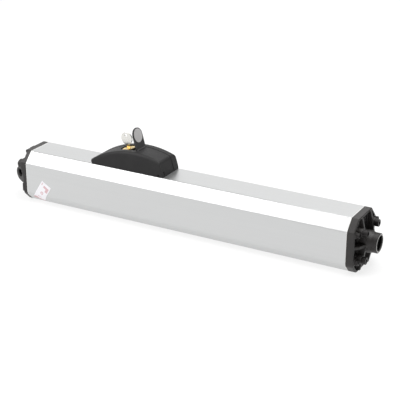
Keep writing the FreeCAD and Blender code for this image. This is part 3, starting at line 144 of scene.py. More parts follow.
def colour_setting(name, description, value):
    """A colour that the maker may change."""
    return bpy.props.FloatVectorProperty(
        name=name, description=description, subtype="COLOR", size=3, min=0.0, max=1.0,
        default=value,
    )


def length_setting(name, description, value):
    """A length that the maker may change, in metres."""
    return bpy.props.FloatProperty(
        name=name, description=description, subtype="DISTANCE", unit="LENGTH", min=0.0,
        default=value,
    )


def power_setting(name, description, value):
    """The power of a lamp that the maker may change, in watts."""
    return bpy.props.FloatProperty(
        name=name, description=description, subtype="POWER", unit="POWER", min=0.0,
        default=value,
    )


class DoorOperatorColours(bpy.types.PropertyGroup):
    """Colours of the operator's pieces."""

    aluminium: colour_setting("Tank", "Bare extruded aluminium", (0.60, 0.605, 0.605))
    casting: colour_setting(
        "Castings", "Black paint on the two end castings", (0.0215, 0.0195, 0.0188)
    )
    cover: colour_setting("Cover", "Moulded release cover", (0.0148, 0.0143, 0.0148))
    flap: colour_setting("Flap", "Moulded dust flap", (0.018, 0.017, 0.018))
    badge: colour_setting("Flap disc", "Blank disc on the dust flap", (0.46, 0.45, 0.45))
    brass: colour_setting("Brass", "Lock barrel and plug", (0.80, 0.63, 0.32))
    nickel: colour_setting("Nickel", "Plated key bow", (0.72, 0.71, 0.68))
    black_steel: colour_setting("Screws", "Black oxide on screw heads", (0.020, 0.018, 0.018))
    steel: colour_setting("Steel", "Bare turned steel", (0.56, 0.55, 0.53))
    zinc: colour_setting("Zinc", "Zinc plated screws", (0.62, 0.64, 0.66))
    bronze: colour_setting("Bronze", "Sintered bearing bronze", (0.50, 0.31, 0.14))
    copper: colour_setting("Copper", "Enamelled winding wire", (0.62, 0.24, 0.10))
    rubber: colour_setting("Rubber", "Seals and wiper", (0.016, 0.015, 0.015))
    nylon: colour_setting("Nylon", "Guide ring of the piston", (0.55, 0.50, 0.40))
    gasket: colour_setting("Gasket", "Pressed fibre gaskets", (0.78, 0.78, 0.76))
    paper: colour_setting("Sticker", "White coated paper", (0.90, 0.885, 0.92))
    print_red: colour_setting("Sticker print", "Faded red on the sticker", (0.56, 0.20, 0.22))


class DoorOperatorSizes(bpy.types.PropertyGroup):
    """Sizes that only the look depends on."""

    cast_grain: length_setting("Cast grain", "Fineness of the castings' soft edges", 0.55 * MM)
    key_edge: length_setting("Key edge", "Rounding of the stamped key's edges", 0.35 * MM)
    flap_edge: length_setting("Flap edge", "Rounding of the moulded flap's edges", 0.5 * MM)
    sticker_width: length_setting("Sticker width", "Width of the paper sticker", 23.7 * MM)
    sticker_length: length_setting("Sticker length", "Its length round the corner", 50.0 * MM)
    sticker_lift: length_setting("Sticker lift", "How far it stands off the tank", 0.12 * MM)


class DoorOperatorStudio(bpy.types.PropertyGroup):
    """Light and floor."""

    room_light: bpy.props.FloatProperty(
        name="Room light", description="Brightness of the room all round", min=0.0, default=0.30
    )
    key_light: power_setting("Key light", "Soft box above the tank's rear end", 25.0)
    top_light: power_setting("Top light", "Large soft box overhead", 44.0)
    back_light: power_setting("Back light", "Wide soft box behind", 18.0)
    front_light: power_setting("Front light", "Wide soft box in front, low down", 10.0)
    floor_colour: colour_setting("Floor", "Plain pale floor", (0.20, 0.20, 0.20))
    floor_glow: bpy.props.FloatProperty(
        name="Floor glow", description="Light that comes through the floor, as on a light table",
        min=0.0, default=0.80,
    )


# ---------------------------------------------------------------- finishes

class Signal:
    """A number that changes over a surface, used in sums like any other number."""

    def __init__(self, finish, socket):
        self.finish = finish
        self.socket = socket

    def maths(self, operation, *numbers):
        """A Math node fed with numbers in turn."""
        settings = {"operation": operation}
        return self.finish.node("ShaderNodeMath", settings, dict(enumerate(numbers)))

    def __add__(self, other):
        return self.maths("ADD", self, other)

    def __sub__(self, other):
        return self.maths("SUBTRACT", self, other)

    def __rsub__(self, other):
        return self.maths("SUBTRACT", other, self)

    def __mul__(self, other):
        return self.maths("MULTIPLY", self, other)

    def __pow__(self, other):
        return self.maths("POWER", self, other)

    __radd__ = __add__
    __rmul__ = __mul__

    def __abs__(self):
        return self.maths("ABSOLUTE", self)

    def wave(self, pitch):
        """A wave from -1 to 1 that comes back after each pitch."""
        return self.maths("SINE", self * (math.tau / pitch))

    def between(self, low, high):
        """0 below low, 1 above high, and a soft step between them."""
        settings = {"interpolation_type": "SMOOTHSTEP"}
        sockets = {"Value": self, "From Min": low, "From Max": high}
        return self.finish.node("ShaderNodeMapRange", settings, sockets)


class Finish:
    """One material, and the calls that add nodes to it."""

    def __init__(self, name):
        self.material = bpy.data.materials.new(name)
        self.material.use_nodes = True
        self.tree = self.material.node_tree
        self.tree.nodes.clear()
        self.place = self.node("ShaderNodeTexCoord", {}, {}, output="Object")

    def node(self, kind, settings, sockets, output=0):
        """Adds a node, sets it up, fills its sockets and gives one of its outputs."""
        made = self.tree.nodes.new(kind)
        for name, value in settings.items():
            setattr(made, name, value)
        for key, value in sockets.items():
            if isinstance(value, Signal):
                self.tree.links.new(value.socket, made.inputs[key])
            else:
                made.inputs[key].default_value = value
        return Signal(self, made.outputs[output]) if made.outputs else None

    def vector(self, operation, *vectors, output="Vector"):
        """A Vector Math node fed with vectors in turn."""
        settings = {"operation": operation}
        return self.node("ShaderNodeVectorMath", settings, dict(enumerate(vectors)), output)

    def part(self, vector, letter):
        """The X, Y or Z part of a vector."""
        return self.node("ShaderNodeSeparateXYZ", {}, {"Vector": vector}, letter)

    def along(self, letter):
        """Place on the object along X, Y or Z."""
        return self.part(self.place, letter)

    def radius(self, centre, axis):
        """Distance from the line through centre along axis."""
        across = self.vector("CROSS_PRODUCT", self.vector("SUBTRACT", self.place, centre), axis)
        return self.vector("LENGTH", across, output="Value")

    def height(self, centre, axis):
        """Distance from centre measured along axis."""
        from_centre = self.vector("SUBTRACT", self.place, centre)
        return self.vector("DOT_PRODUCT", from_centre, axis, output="Value")

    def noise(self, scale, detail=2.0, roughness=0.5, place=None):
        """Cloudy noise from 0 to 1, with scale in features per metre."""
        sockets = {"Scale": scale, "Detail": detail, "Roughness": roughness}
        return self.node("ShaderNodeTexNoise", {}, {"Vector": place or self.place, **sockets})

    def streaks(self, x, y, z, detail=2.0):
        """Noise with x, y and z features per metre in its three directions."""
        stretched = self.vector("MULTIPLY", self.place, (x, y, z))
        return self.noise(1.0, detail, place=stretched)

    def specks(self, scale):
        """Distance to the nearest of many scattered points, with scale in points per metre."""
        return self.node("ShaderNodeTexVoronoi", {}, {"Vector": self.place, "Scale": scale})

    def mixed(self, factor, first, second):
        """One colour turning into another as the factor rises."""
        settings = {"data_type": "RGBA", "clamp_factor": True}
        sockets = {"Factor": factor, MIX_FIRST: opaque(first), MIX_SECOND: opaque(second)}
        return self.node("ShaderNodeMix", settings, sockets, MIX_RESULT)

    def bump(self, height, depth):
        """Relief whose height runs from 0 to 1 and is depth metres deep."""
        sockets = {"Strength": 1.0, "Distance": depth, "Height": height}
        return self.node("ShaderNodeBump", {}, sockets)

    def surface(
        self, colour, roughness, relief=None, metallic=0.0, shine=0.5, lacquer=0.0, glow=0.0
    ):
        """Closes the material. Shine, lacquer and glow are the same all over the surface."""
        sockets = {
            "Base Color": opaque(colour),
            "Roughness": roughness,
            "Metallic": metallic,
            "Specular IOR Level": shine,
            "Coat Weight": lacquer,
            "Emission Color": WHITE,
            "Emission Strength": glow,
        }
        if relief is not None:
            sockets["Normal"] = relief
        shader = self.node("ShaderNodeBsdfPrincipled", {}, sockets)
        self.node("ShaderNodeOutputMaterial", {}, {"Surface": shader})
        return self.material


def opaque(colour):
    """A colour as a colour socket takes it."""
    return colour if isinstance(colour, Signal) else (*colour, 1.0)


def shade(colour, amount):
    """A colour made lighter or darker."""
    return tuple(min(1.0, part * amount) for part in colour)


def tank_finish(colours):
    """Bare extrusion: long die lines, cloudy staining and a satin shine."""
    finish = Finish("bare_extruded_aluminium")
    fine = finish.streaks(2.0, 1500.0, 1500.0, detail=3.0)
    broad = finish.streaks(3.0, 220.0, 220.0)
    stain = finish.noise(16.0, detail=4.0)
    tone = fine * 0.45 + broad * 0.35 + stain * 0.20
    colour = finish.mixed(tone, shade(colours.aluminium, 0.95), shade(colours.aluminium, 1.05))
    relief = finish.bump(fine * 0.6 + broad, 0.008 * MM)
    return finish.surface(colour, 0.31 + fine * 0.06 + stain * 0.06, relief, metallic=1.0)


def casting_finish(colours):
    """Black stoved paint on a sand casting: orange peel, and dust in patches.

    Painted shade: the nose's bore and the floor of the front recess are painted darker, as little
    light gets there, and the other faces turned towards the front end are painted half as dark.
    """
    finish = Finish("black_painted_casting")
    peel = finish.noise(700.0)
    grain = finish.noise(240.0, detail=3.0)
    dust = finish.noise(28.0, detail=5.0, roughness=0.65)
    dusted = finish.mixed(dust.between(0.35, 0.75), colours.casting, shade(colours.casting, 1.45))
    # Painted shade: on the front casting, faces turned towards the front end, the floor of the
    # front recess and the nose's bore are painted darker
    normal = finish.node("ShaderNodeTexCoord", {}, {}, output="Normal")
    facing = finish.part(normal, "X").between(0.5, 0.9)
    recess = facing * (1.0 - finish.along("X").between(*RECESS_EDGE) * 0.5)
    bore = 1.0 - finish.radius(MIDDLE, ALONG).between(*NOSE_BORE)
    painted_shade = (recess + bore) * finish.along("X").between(*FRONT_CASTING)
    colour = finish.mixed(painted_shade, dusted, shade(colours.casting, 0.25))
    relief = finish.bump(peel * 0.35 + grain * 0.65, 0.16 * MM)
    return finish.surface(colour, 0.36 + grain * 0.10 + dust * 0.06, relief, shine=0.4)


def screw_finish(name, colour, metallic, roughness):
    """Plated or blackened screw steel with fine scuffs."""
    finish = Finish(name)
    scuffs = finish.streaks(900.0, 300.0, 900.0, detail=4.0)
    cloud = finish.noise(260.0, detail=3.0)
    mixed = finish.mixed(cloud * 0.6 + scuffs * 0.4, shade(colour, 0.78), shade(colour, 1.25))
    relief = finish.bump(scuffs, 0.03 * MM)
    return finish.surface(mixed, roughness + scuffs * 0.15, relief, metallic=metallic)


def turned_finish(name, colour, centre, axis, roughness, pitch):
    """Turned metal: fine rings about its own axis, a little tarnish and a bright shine."""
    finish = Finish(name)
    rings = finish.radius(centre, axis).wave(pitch) * 0.5 + 0.5
    travel = finish.height(centre, axis).wave(pitch) * 0.5 + 0.5
    tarnish = finish.noise(180.0, detail=5.0, roughness=0.6)
    mixed = finish.mixed(tarnish.between(0.3, 0.8), shade(colour, 1.05), shade(colour, 0.82))
    relief = finish.bump(rings * travel, 0.010 * MM)
    return finish.surface(mixed, roughness + tarnish * 0.12 + rings * 0.04, relief, metallic=1.0)


def nose_ring_finish(colours):
    """Turned steel with grease in patches and a bright band round the mouth. The rest of the ring
    is painted black, a painted shade for the dark inside of the nose, and its inside near the mouth
    is painted a lighter, duller grey, a painted light where light reaches in.
    """
    finish = Finish("turned_nose_ring")
    radius = finish.radius(MIDDLE, ALONG)
    rings = radius.wave(0.3 * MM) * 0.5 + 0.5
    grease = finish.noise(300.0, detail=4.0)
    turned = finish.mixed(grease, shade(colours.steel, 0.65), shade(colours.steel, 0.95))
    band = radius.between(*BAND_START) * (1.0 - radius.between(*BAND_END))
    # Painted shade: outside the bright band the ring is painted near black
    face = finish.mixed(band, shade(colours.steel, 0.04), turned)
    # Painted light: the ring's inner side near the mouth is painted a lighter, less metallic grey
    # where light reaches in
    painted_light_on_wall = (1.0 - radius.between(*RING_WALL)) * finish.along("X").between(*RING_MOUTH)
    mixed = finish.mixed(painted_light_on_wall, face, shade(colours.steel, 0.14))
    relief = finish.bump(rings, 0.010 * MM)
    return finish.surface(mixed, 0.28 + grease * 0.12, relief, metallic=1.0 - painted_light_on_wall)


def milled_finish(name, colour, roughness):
    """Machined metal with the straight traces of a milling cutter."""
    finish = Finish(name)
    traces = finish.streaks(1100.0, 90.0, 90.0)
    cloud = finish.noise(70.0, detail=4.0)
    mixed = finish.mixed(traces * 0.5 + cloud * 0.5, shade(colour, 0.86), shade(colour, 1.08))
    relief = finish.bump(traces, 0.02 * MM)
    return finish.surface(mixed, roughness + traces * 0.10, relief, metallic=1.0)


def moulded_finish(name, colour, roughness, depth, shine=0.5):
    """Moulded plastic with a fine eroded grain and dull rubbed patches."""
    finish = Finish(name)
    grain = finish.noise(1600.0)
    pits = finish.specks(1100.0)
    rubbed = finish.noise(45.0, detail=4.0, roughness=0.6)
    mixed = finish.mixed(rubbed.between(0.3, 0.8), shade(colour, 0.9), shade(colour, 1.3))
    relief = finish.bump(grain * 0.6 + pits * 0.4, depth)
    return finish.surface(mixed, roughness + grain * 0.10 + rubbed * 0.06, relief, shine=shine)


def key_finish(colours):
    """Nickel plated bow above a brass blade that shows between bow and lock."""
    finish = Finish("plated_key")
    plated = finish.height(LOCK_CENTRE, LOCK_AXIS).between(*BOW_START)
    scuffs = finish.streaks(500.0, 500.0, 1400.0, detail=4.0)
    worn = scuffs.between(0.62, 0.80) * 0.3
    mixed = finish.mixed(plated * (1.0 - worn), colours.brass, colours.nickel)
    relief = finish.bump(scuffs, 0.02 * MM)
    return finish.surface(mixed, 0.16 + scuffs * 0.18, relief, metallic=1.0)


def badge_finish(colours):
    """Satin disc with a brushed face."""
    finish = Finish("satin_disc")
    brushed = finish.streaks(60.0, 60.0, 2600.0, detail=3.0)
    cloud = finish.noise(90.0, detail=3.0)
    tone = brushed * 0.6 + cloud * 0.4
    mixed = finish.mixed(tone, shade(colours.badge, 0.9), shade(colours.badge, 1.1))
    relief = finish.bump(brushed, 0.01 * MM)
    return finish.surface(mixed, 0.34 + brushed * 0.12, relief, metallic=0.35)


def rubber_finish(colours):
    """Seal rubber: dull, faintly speckled with talc."""
    finish = Finish("dull_seal_rubber")
    talc = finish.noise(500.0, detail=4.0, roughness=0.7)
    mixed = finish.mixed(talc.between(0.55, 0.75), colours.rubber, shade(colours.rubber, 2.4))
    return finish.surface(mixed, 0.58 + talc * 0.2, finish.bump(talc, 0.03 * MM))


def chrome_finish():
    """Hard chrome on the rod, with hair-fine lines from grinding round it."""
    finish = Finish("hard_chrome")
    lines = finish.streaks(4200.0, 40.0, 40.0)
    mixed = finish.mixed(lines, CHROME_DULL, CHROME_BRIGHT)
    relief = finish.bump(lines, 0.002 * MM)
    return finish.surface(mixed, 0.06 + lines * 0.06, relief, metallic=1.0)


def lamination_finish(colour):
    """Stack of thin core sheets, seen as fine bands along the motor."""
    finish = Finish("core_sheets")
    bands = finish.along("X").wave(0.65 * MM) * 0.5 + 0.5
    rust = finish.noise(120.0, detail=4.0, roughness=0.7)
    mixed = finish.mixed(bands * 0.6 + rust * 0.4, shade(colour, 0.45), shade(colour, 0.8))
    relief = finish.bump(bands, 0.05 * MM)
    return finish.surface(mixed, 0.38 + rust * 0.2, relief, metallic=0.9)


def winding_finish(colours):
    """Enamelled wires laid side by side round the motor."""
    finish = Finish("enamelled_wire")
    pitch = 0.8 * MM
    across = finish.radius(MIDDLE, ALONG).wave(pitch)
    beside = finish.along("X").wave(pitch)
    wires = (across * beside) * 0.5 + 0.5
    varnish = finish.noise(140.0, detail=3.0)
    tone = wires * 0.6 + varnish * 0.4
    mixed = finish.mixed(tone, shade(colours.copper, 0.5), colours.copper)
    relief = finish.bump(wires, 0.15 * MM)
    return finish.surface(mixed, 0.25 + varnish * 0.15, relief, metallic=0.7, lacquer=0.4)


def woven_finish(colours):
    """Woven brass wire of the suction filter, and the drawn pipe beside it."""
    finish = Finish("woven_brass")
    pitch = 0.7 * MM
    warp = finish.along("X").wave(pitch)
    weft = finish.along("Z").wave(pitch)
    weave = (warp * weft) * 0.5 + 0.5
    oil = finish.noise(150.0, detail=3.0)
    mixed = finish.mixed(weave * 0.5 + oil * 0.5, shade(colours.brass, 0.55), colours.brass)
    relief = finish.bump(weave, 0.05 * MM)
    return finish.surface(mixed, 0.26 + oil * 0.2, relief, metallic=1.0)


def gasket_finish(colours):
    """Pressed fibre with short fibres lying every way."""
    finish = Finish("pressed_fibre")
    fibres = finish.noise(1500.0, detail=5.0, roughness=0.75)
    clumps = finish.specks(420.0)
    tone = fibres * 0.7 + clumps * 0.3
    mixed = finish.mixed(tone, shade(colours.gasket, 0.75), shade(colours.gasket, 1.2))
    return finish.surface(mixed, 0.7 + fibres * 0.15, finish.bump(fibres, 0.04 * MM))


def floor_finish(colour, glow):
    """Plain pale studio floor, lit a little from below like a light table."""
    finish = Finish("studio_floor")
    mixed = finish.mixed(finish.noise(3.0), shade(colour, 0.995), colour)
    return finish.surface(mixed, 0.9, shine=0.1, glow=glow)


# ---------------------------------------------------------------- making pieces

def dress(finish, *nodes):
    """Gives CAD nodes their finish."""
    for node in nodes:
        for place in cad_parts[node].material_slots:
            place.material = finish


def new_piece(name, shape, finish, body):
    """Puts a shape in the scene as a named piece with its finish, on its body."""
    mesh = bpy.data.meshes.new(name)
    shape.to_mesh(mesh)
    shape.free()
    for face in mesh.polygons:
        face.use_smooth = True
    mesh.materials.append(finish)
    piece = bpy.data.objects.new(name, mesh)
    bpy.context.scene.collection.objects.link(piece)
    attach(piece, body)
    return piece


def welded_copy(node):
    """A CAD solid's shape with its faces joined at their edges."""
    shape = bmesh.new()
    shape.from_mesh(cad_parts[node].data)
    bmesh.ops.remove_doubles(shape, verts=shape.verts, dist=WELD_DISTANCE)
    return shape


def settle(piece):
    """Makes a piece's modifiers part of its mesh."""
    shown = piece.evaluated_get(bpy.context.evaluated_depsgraph_get())
    made = bpy.data.meshes.new_from_object(shown)
    old = piece.data
    piece.modifiers.clear()
    piece.data = made
    bpy.data.meshes.remove(old)


def cast_copy(name, node, finish, body, grain):
    """A casting made from a CAD solid, with its edges and corners soft as sand leaves them."""
    piece = new_piece(name, welded_copy(node), finish, body)
    skin = piece.modifiers.new("skin", "REMESH")
    skin.mode = "VOXEL"
    skin.voxel_size = grain
    skin.use_smooth_shade = True
    soft = piece.modifiers.new("soft", "SMOOTH")
    soft.factor = CAST_SMOOTHING
    soft.iterations = CAST_PASSES
    thinned = piece.modifiers.new("thinned", "DECIMATE")
    thinned.ratio = CAST_FACES_KEPT
    settle(piece)
    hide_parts(node)
    return piece


def rounded_copy(name, node, finish, body, edge):
    """A stamped or moulded piece made from a CAD solid, with its sharp edges broken."""
    shape = welded_copy(node)
    bmesh.ops.dissolve_limit(shape, angle_limit=FLAT_ANGLE, verts=shape.verts, edges=shape.edges)
    piece = new_piece(name, shape, finish, body)
    broken = piece.modifiers.new("broken", "BEVEL")
    broken.width = edge
    broken.segments = EDGE_STEPS
    broken.limit_method = "ANGLE"
    broken.angle_limit = SHARP_ANGLE
    broken.harden_normals = True
    settle(piece)
    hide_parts(node)
    return piece


class StickerSheet:
    """The paper sticker: where it lies on the tank's front, and how it follows the lower corner."""

    # Faces across and down the sheet, and the glue under it
    COLUMNS = 24
    ROWS = 72
    GLUE = 0.02 * MM

    # The sheet's top corner on the front face, in x and z, and its slope
    TOP_CORNER = Vector((66.7, 1.5)) * MM
    SLOPE = math.radians(-32.5)

    # The tank's front face: its y, the height where it bends, and the bend
    FACE_Y = -48.35 * MM
    FLAT_END = -27.25 * MM
    CORNER_RADIUS = 11.0 * MM
    CORNER_TURN = math.radians(45.0)

    # The print in shares of the width and the length: left, right, top and bottom of each bar, the
    # ring's middle, and where the red edge starts
    BROAD_BARS = ((0.36, 0.90, 0.12, 0.22), (0.66, 0.90, 0.22, 0.34))
    THIN_BARS = ((0.10, 0.20, 0.06, 0.17), (0.30, 0.62, 0.68, 0.73), (0.08, 0.34, 0.79, 0.86))
    RING_MIDDLE = (0.52, 0.47)
    RED_EDGE = (0.85, 0.87)

    # The ring's radius, the fading edge of its line, and half the fading edge of a bar
    RING_RADIUS = 2.4 * MM
    RING_LINE = (0.5 * MM, 1.3 * MM)
    BAR_BLUR = 0.5 * MM

    def __init__(self, width, length, lift):
        self.width = width
        self.length = length
        self.lift = lift
        self.side = Vector((math.cos(self.SLOPE), math.sin(self.SLOPE)))
        self.down = Vector((math.sin(self.SLOPE), -math.cos(self.SLOPE)))

    def on_tank(self, flat, lift):
        """A point of the flat sheet laid on the tank, lift metres off it."""
        x, z = flat
        past = self.FLAT_END - z
        if past <= 0.0:
            return Vector((x, self.FACE_Y - lift, z))
        arc = self.CORNER_RADIUS * self.CORNER_TURN
        turn = min(past, arc) / self.CORNER_RADIUS
        reach = self.CORNER_RADIUS + lift
        y = self.FACE_Y + self.CORNER_RADIUS - reach * math.cos(turn)
        z = self.FLAT_END - reach * math.sin(turn)
        rest = max(0.0, past - arc)
        return Vector((x, y + rest * math.sin(turn), z - rest * math.cos(turn)))

    def shape(self):
        """The sheet with its thickness, as a grid of faces above and below."""
        columns, rows = self.COLUMNS, self.ROWS
        shape = bmesh.new()
        layers = []
        for lift in (self.lift, self.GLUE):
            grid = []
            for row in range(rows + 1):
                for column in range(columns + 1):
                    across = self.width * column / columns
                    along = self.length * row / rows
                    flat = self.TOP_CORNER + self.side * across + self.down * along
                    grid.append(shape.verts.new(self.on_tank(flat, lift)))
            layers.append(grid)
        stride = columns + 1
        for grid in layers:
            for row in range(rows):
                for column in range(columns):
                    first = row * stride + column
                    corners = (first, first + 1, first + stride + 1, first + stride)
                    shape.faces.new([grid[corner] for corner in corners])
        rim = [row * stride for row in range(rows)]
        rim += [rows * stride + column for column in range(columns)]
        rim += [row * stride + columns for row in range(rows, 0, -1)]
        rim += [column for column in range(columns, 0, -1)]
        above, below = layers
        for place, first in enumerate(rim):
            second = rim[(place + 1) % len(rim)]
            shape.faces.new([above[first], above[second], below[second], below[first]])
        bmesh.ops.recalc_face_normals(shape, faces=shape.faces)
        return shape

    def finish(self, colours):
        """White paper with a few plain faded bars, a ring and a red edge."""
        finish = Finish("sticker_paper")
        x = finish.along("X") - self.TOP_CORNER.x
        z = finish.along("Z") - self.TOP_CORNER.y
        across = x * self.side.x + z * self.side.y
        down = x * self.down.x + z * self.down.y
        fibre = finish.noise(2600.0, detail=4.0)

        def past(distance, line):
            """0 before a line at this distance and 1 past it."""
            return distance.between(line - self.BAR_BLUR, line + self.BAR_BLUR)

        def bar(left, right, top, bottom):
            """A plain bar between shares of the sheet's width and length."""
            sides = past(across, left * self.width) * (1.0 - past(across, right * self.width))
            ends = past(down, top * self.length) * (1.0 - past(down, bottom * self.length))
            return sides * ends

        broad = sum(bar(*shares) for shares in self.BROAD_BARS)
        thin = sum(bar(*shares) for shares in self.THIN_BARS)
        ring_across, ring_down = self.RING_MIDDLE
        beside_ring = across - ring_across * self.width
        below_ring = down - ring_down * self.length
        from_ring = (beside_ring ** 2.0 + below_ring ** 2.0) ** 0.5
        ring = 1.0 - abs(from_ring - self.RING_RADIUS).between(*self.RING_LINE)
        ink = (broad * 0.60 + ring * 0.65 + thin * 0.50) * (0.75 + fibre * 0.5)
        edge = down.between(*(share * self.length for share in self.RED_EDGE)) * 0.8
        faded = finish.mixed(ink, colours.paper, colours.print_red)
        mixed = finish.mixed(edge, faded, colours.print_red)
        return finish.surface(mixed, 0.42 + fibre * 0.2, finish.bump(fibre, 0.02 * MM))


# ---------------------------------------------------------------- operators

class DOOROPERATOR_OT_tank(bpy.types.Operator):
    """Dress the extruded tank and its gaskets"""

    bl_idname = "door_operator.tank"
    bl_label = "Tank"

    def execute(self, context):
        colours = context.scene.door_operator_colours
        dress(tank_finish(colours), "tank_extrusion")
        dress(gasket_finish(colours), "front_gasket", "rear_gasket")
        return {"FINISHED"}


class DOOROPERATOR_OT_castings(bpy.types.Operator):
    """Cast the front and rear flange with soft edges and paint them black"""

    bl_idname = "door_operator.castings"
    bl_label = "Castings"

    def execute(self, context):
        sizes = context.scene.door_operator_sizes
        paint = casting_finish(context.scene.door_operator_colours)
        cast_copy("front_casting", "front_flange", paint, "housing", sizes.cast_grain)
        cast_copy("rear_casting", "rear_flange", paint, "housing", sizes.cast_grain)
        return {"FINISHED"}


class DOOROPERATOR_OT_screws(bpy.types.Operator):
    """Blacken the outer screws and plate the inner ones"""

    bl_idname = "door_operator.screws"
    bl_label = "Screws"

    def execute(self, context):
        colours = context.scene.door_operator_colours
        black = screw_finish("black_oxide", colours.black_steel, metallic=0.6, roughness=0.36)
        dress(black, "tie_rods", "front_flange_screws", "rear_flange_screws", "vent_screw")
        dress(black, "oil_filler_plug", "breather_plug", "cover_screws")
        plated = screw_finish("bright_zinc", colours.zinc, metallic=1.0, roughness=0.24)
        dress(plated, "base_screws", "motor_bolts", "piston_nut")
        return {"FINISHED"}


class DOOROPERATOR_OT_nose(bpy.types.Operator):
    """Finish the nose ring, wiper, rod and rear bush"""

    bl_idname = "door_operator.nose"
    bl_label = "Nose and eye"

    def execute(self, context):
        colours = context.scene.door_operator_colours
        dress(nose_ring_finish(colours), "nose_ring")
        dress(rubber_finish(colours), "rod_wiper", "rod_seal", "piston_seals")
        dress(chrome_finish(), "piston_rod")
        bronze = turned_finish(
            "sintered_bronze", colours.bronze, MIDDLE, ALONG, roughness=0.34, pitch=0.4 * MM
        )
        dress(bronze, "rod_guide_bush")
        plastic = moulded_finish("gland_plastic", colours.cover, roughness=0.42, depth=0.03 * MM)
        dress(plastic, "cable_gland", "pivot_bush")
        return {"FINISHED"}


class DOOROPERATOR_OT_cover(bpy.types.Operator):
    """Dress the moulded release cover and the tray under it"""

    bl_idname = "door_operator.cover"
    bl_label = "Release cover"

    def execute(self, context):
        colours = context.scene.door_operator_colours
        grained = moulded_finish(
            "cover_plastic_grained", colours.cover, roughness=0.44, depth=0.05 * MM, shine=0.3
        )
        dress(grained, "release_cover")
        smooth = moulded_finish("tray_plastic", colours.cover, roughness=0.5, depth=0.04 * MM)
        dress(smooth, "cover_base")
        return {"FINISHED"}


class DOOROPERATOR_OT_lock(bpy.types.Operator):
    """Finish the lock, its key and what the key works"""

    bl_idname = "door_operator.lock"
    bl_label = "Release lock"

    def execute(self, context):
        colours = context.scene.door_operator_colours
        sizes = context.scene.door_operator_sizes
        brass = turned_finish(
            "polished_brass", colours.brass, LOCK_CENTRE, LOCK_AXIS, roughness=0.20, pitch=0.5 * MM
        )
        dress(brass, "lock_barrel", "lock_plug")
        plated = key_finish(colours)
        rounded_copy("stamped_key", "key", plated, "release", sizes.key_edge)
        spindle = turned_finish(
            "turned_spindle", colours.steel, LOCK_CENTRE, LOCK_AXIS, roughness=0.24, pitch=0.4 * MM
        )
        dress(spindle, "release_spindle", "release_needle")
        return {"FINISHED"}


class DOOROPERATOR_OT_flap(bpy.types.Operator):
    """Mould the dust flap and set the blank disc in it"""

    bl_idname = "door_operator.flap"
    bl_label = "Dust flap"

    def execute(self, context):
        colours = context.scene.door_operator_colours
        sizes = context.scene.door_operator_sizes
        plastic = moulded_finish(
            "flap_plastic_smooth", colours.flap, roughness=0.34, depth=0.02 * MM
        )
        rounded_copy("moulded_flap", "dust_flap", plastic, "flap", sizes.flap_edge)
        dress(badge_finish(colours), "flap_badge")
        return {"FINISHED"}


class DOOROPERATOR_OT_hydraulics(bpy.types.Operator):
    """Finish the valve block, cylinder, piston, pump and motor inside the tank"""

    bl_idname = "door_operator.hydraulics"
    bl_label = "Hydraulics"

    def execute(self, context):
        colours = context.scene.door_operator_colours
        bare = shade(colours.aluminium, 0.85)
        milled = milled_finish("milled_aluminium", bare, roughness=0.30)
        dress(milled, "valve_block", "cylinder_head", "piston", "pump_housing", "pump_cover")
        dress(milled, "motor_adapter", "motor_rear_shield", "release_bush", "shaft_coupling")
        drawn = milled_finish("drawn_steel_tube", colours.steel, roughness=0.28)
        dress(drawn, "cylinder_tube")
        turned = turned_finish(
            "turned_steel_bright", colours.steel, MIDDLE, ALONG, roughness=0.22, pitch=0.4 * MM
        )
        dress(turned, "pump_drive_gear", "pump_idler_gear", "pump_shaft")
        dress(turned, "motor_shaft", "motor_bearings")
        upright = turned_finish(
            "turned_steel_upright", colours.steel, MIDDLE, UP, roughness=0.22, pitch=0.4 * MM
        )
        dress(upright, "bypass_balls", "bypass_screw_opening", "bypass_springs", "flap_pin")
        brass = turned_finish(
            "turned_brass_upright", colours.brass, MIDDLE, UP, roughness=0.24, pitch=0.4 * MM
        )
        dress(brass, "bypass_screw_closing")
        dress(woven_finish(colours), "suction_filter", "pressure_pipe")
        dress(lamination_finish(colours.steel), "stator_core", "rotor_core")
        dress(winding_finish(colours), "stator_windings")
        nylon = moulded_finish("guide_ring_nylon", colours.nylon, roughness=0.4, depth=0.02 * MM)
        dress(nylon, "piston_guide_ring")
        return {"FINISHED"}


class DOOROPERATOR_OT_sticker(bpy.types.Operator):
    """Stick the plain paper label round the tank's lower front corner"""

    bl_idname = "door_operator.sticker"
    bl_label = "Sticker"

    def execute(self, context):
        sizes = context.scene.door_operator_sizes
        sheet = StickerSheet(sizes.sticker_width, sizes.sticker_length, sizes.sticker_lift)
        finish = sheet.finish(context.scene.door_operator_colours)
        new_piece("paper_sticker", sheet.shape(), finish, "housing")
        return {"FINISHED"}


def lay_floor(studio, middle):
    """Lays a wide pale floor just under the part."""
    shape = bmesh.new()
    bmesh.ops.create_grid(shape, x_segments=FLOOR_CELLS, y_segments=FLOOR_CELLS, size=FLOOR_HALF)
    place = Vector((middle.x, middle.y, cad_low.z - FLOOR_GAP))
    bmesh.ops.translate(shape, verts=shape.verts, vec=place)
    mesh = bpy.data.meshes.new("floor")
    shape.to_mesh(mesh)
    shape.free()
    mesh.materials.append(floor_finish(studio.floor_colour, studio.floor_glow))
    ground = bpy.data.objects.new("floor", mesh)
    bpy.context.scene.collection.objects.link(ground)


def light_room(strength):
    """Lights the room evenly all round."""
    room = bpy.data.worlds.new("studio_room")
    room.use_nodes = True
    light = room.node_tree.nodes["Background"].inputs
    light["Color"].default_value = WHITE
    light["Strength"].default_value = strength
    bpy.context.scene.world = room


def aim(thing, place, direction):
    """Stands a lamp or a camera at a place, looking in a direction."""
    thing.location = place
    thing.rotation_mode = "QUATERNION"
    thing.rotation_quaternion = direction.to_track_quat("-Z", "Y")
    bpy.context.scene.collection.objects.link(thing)


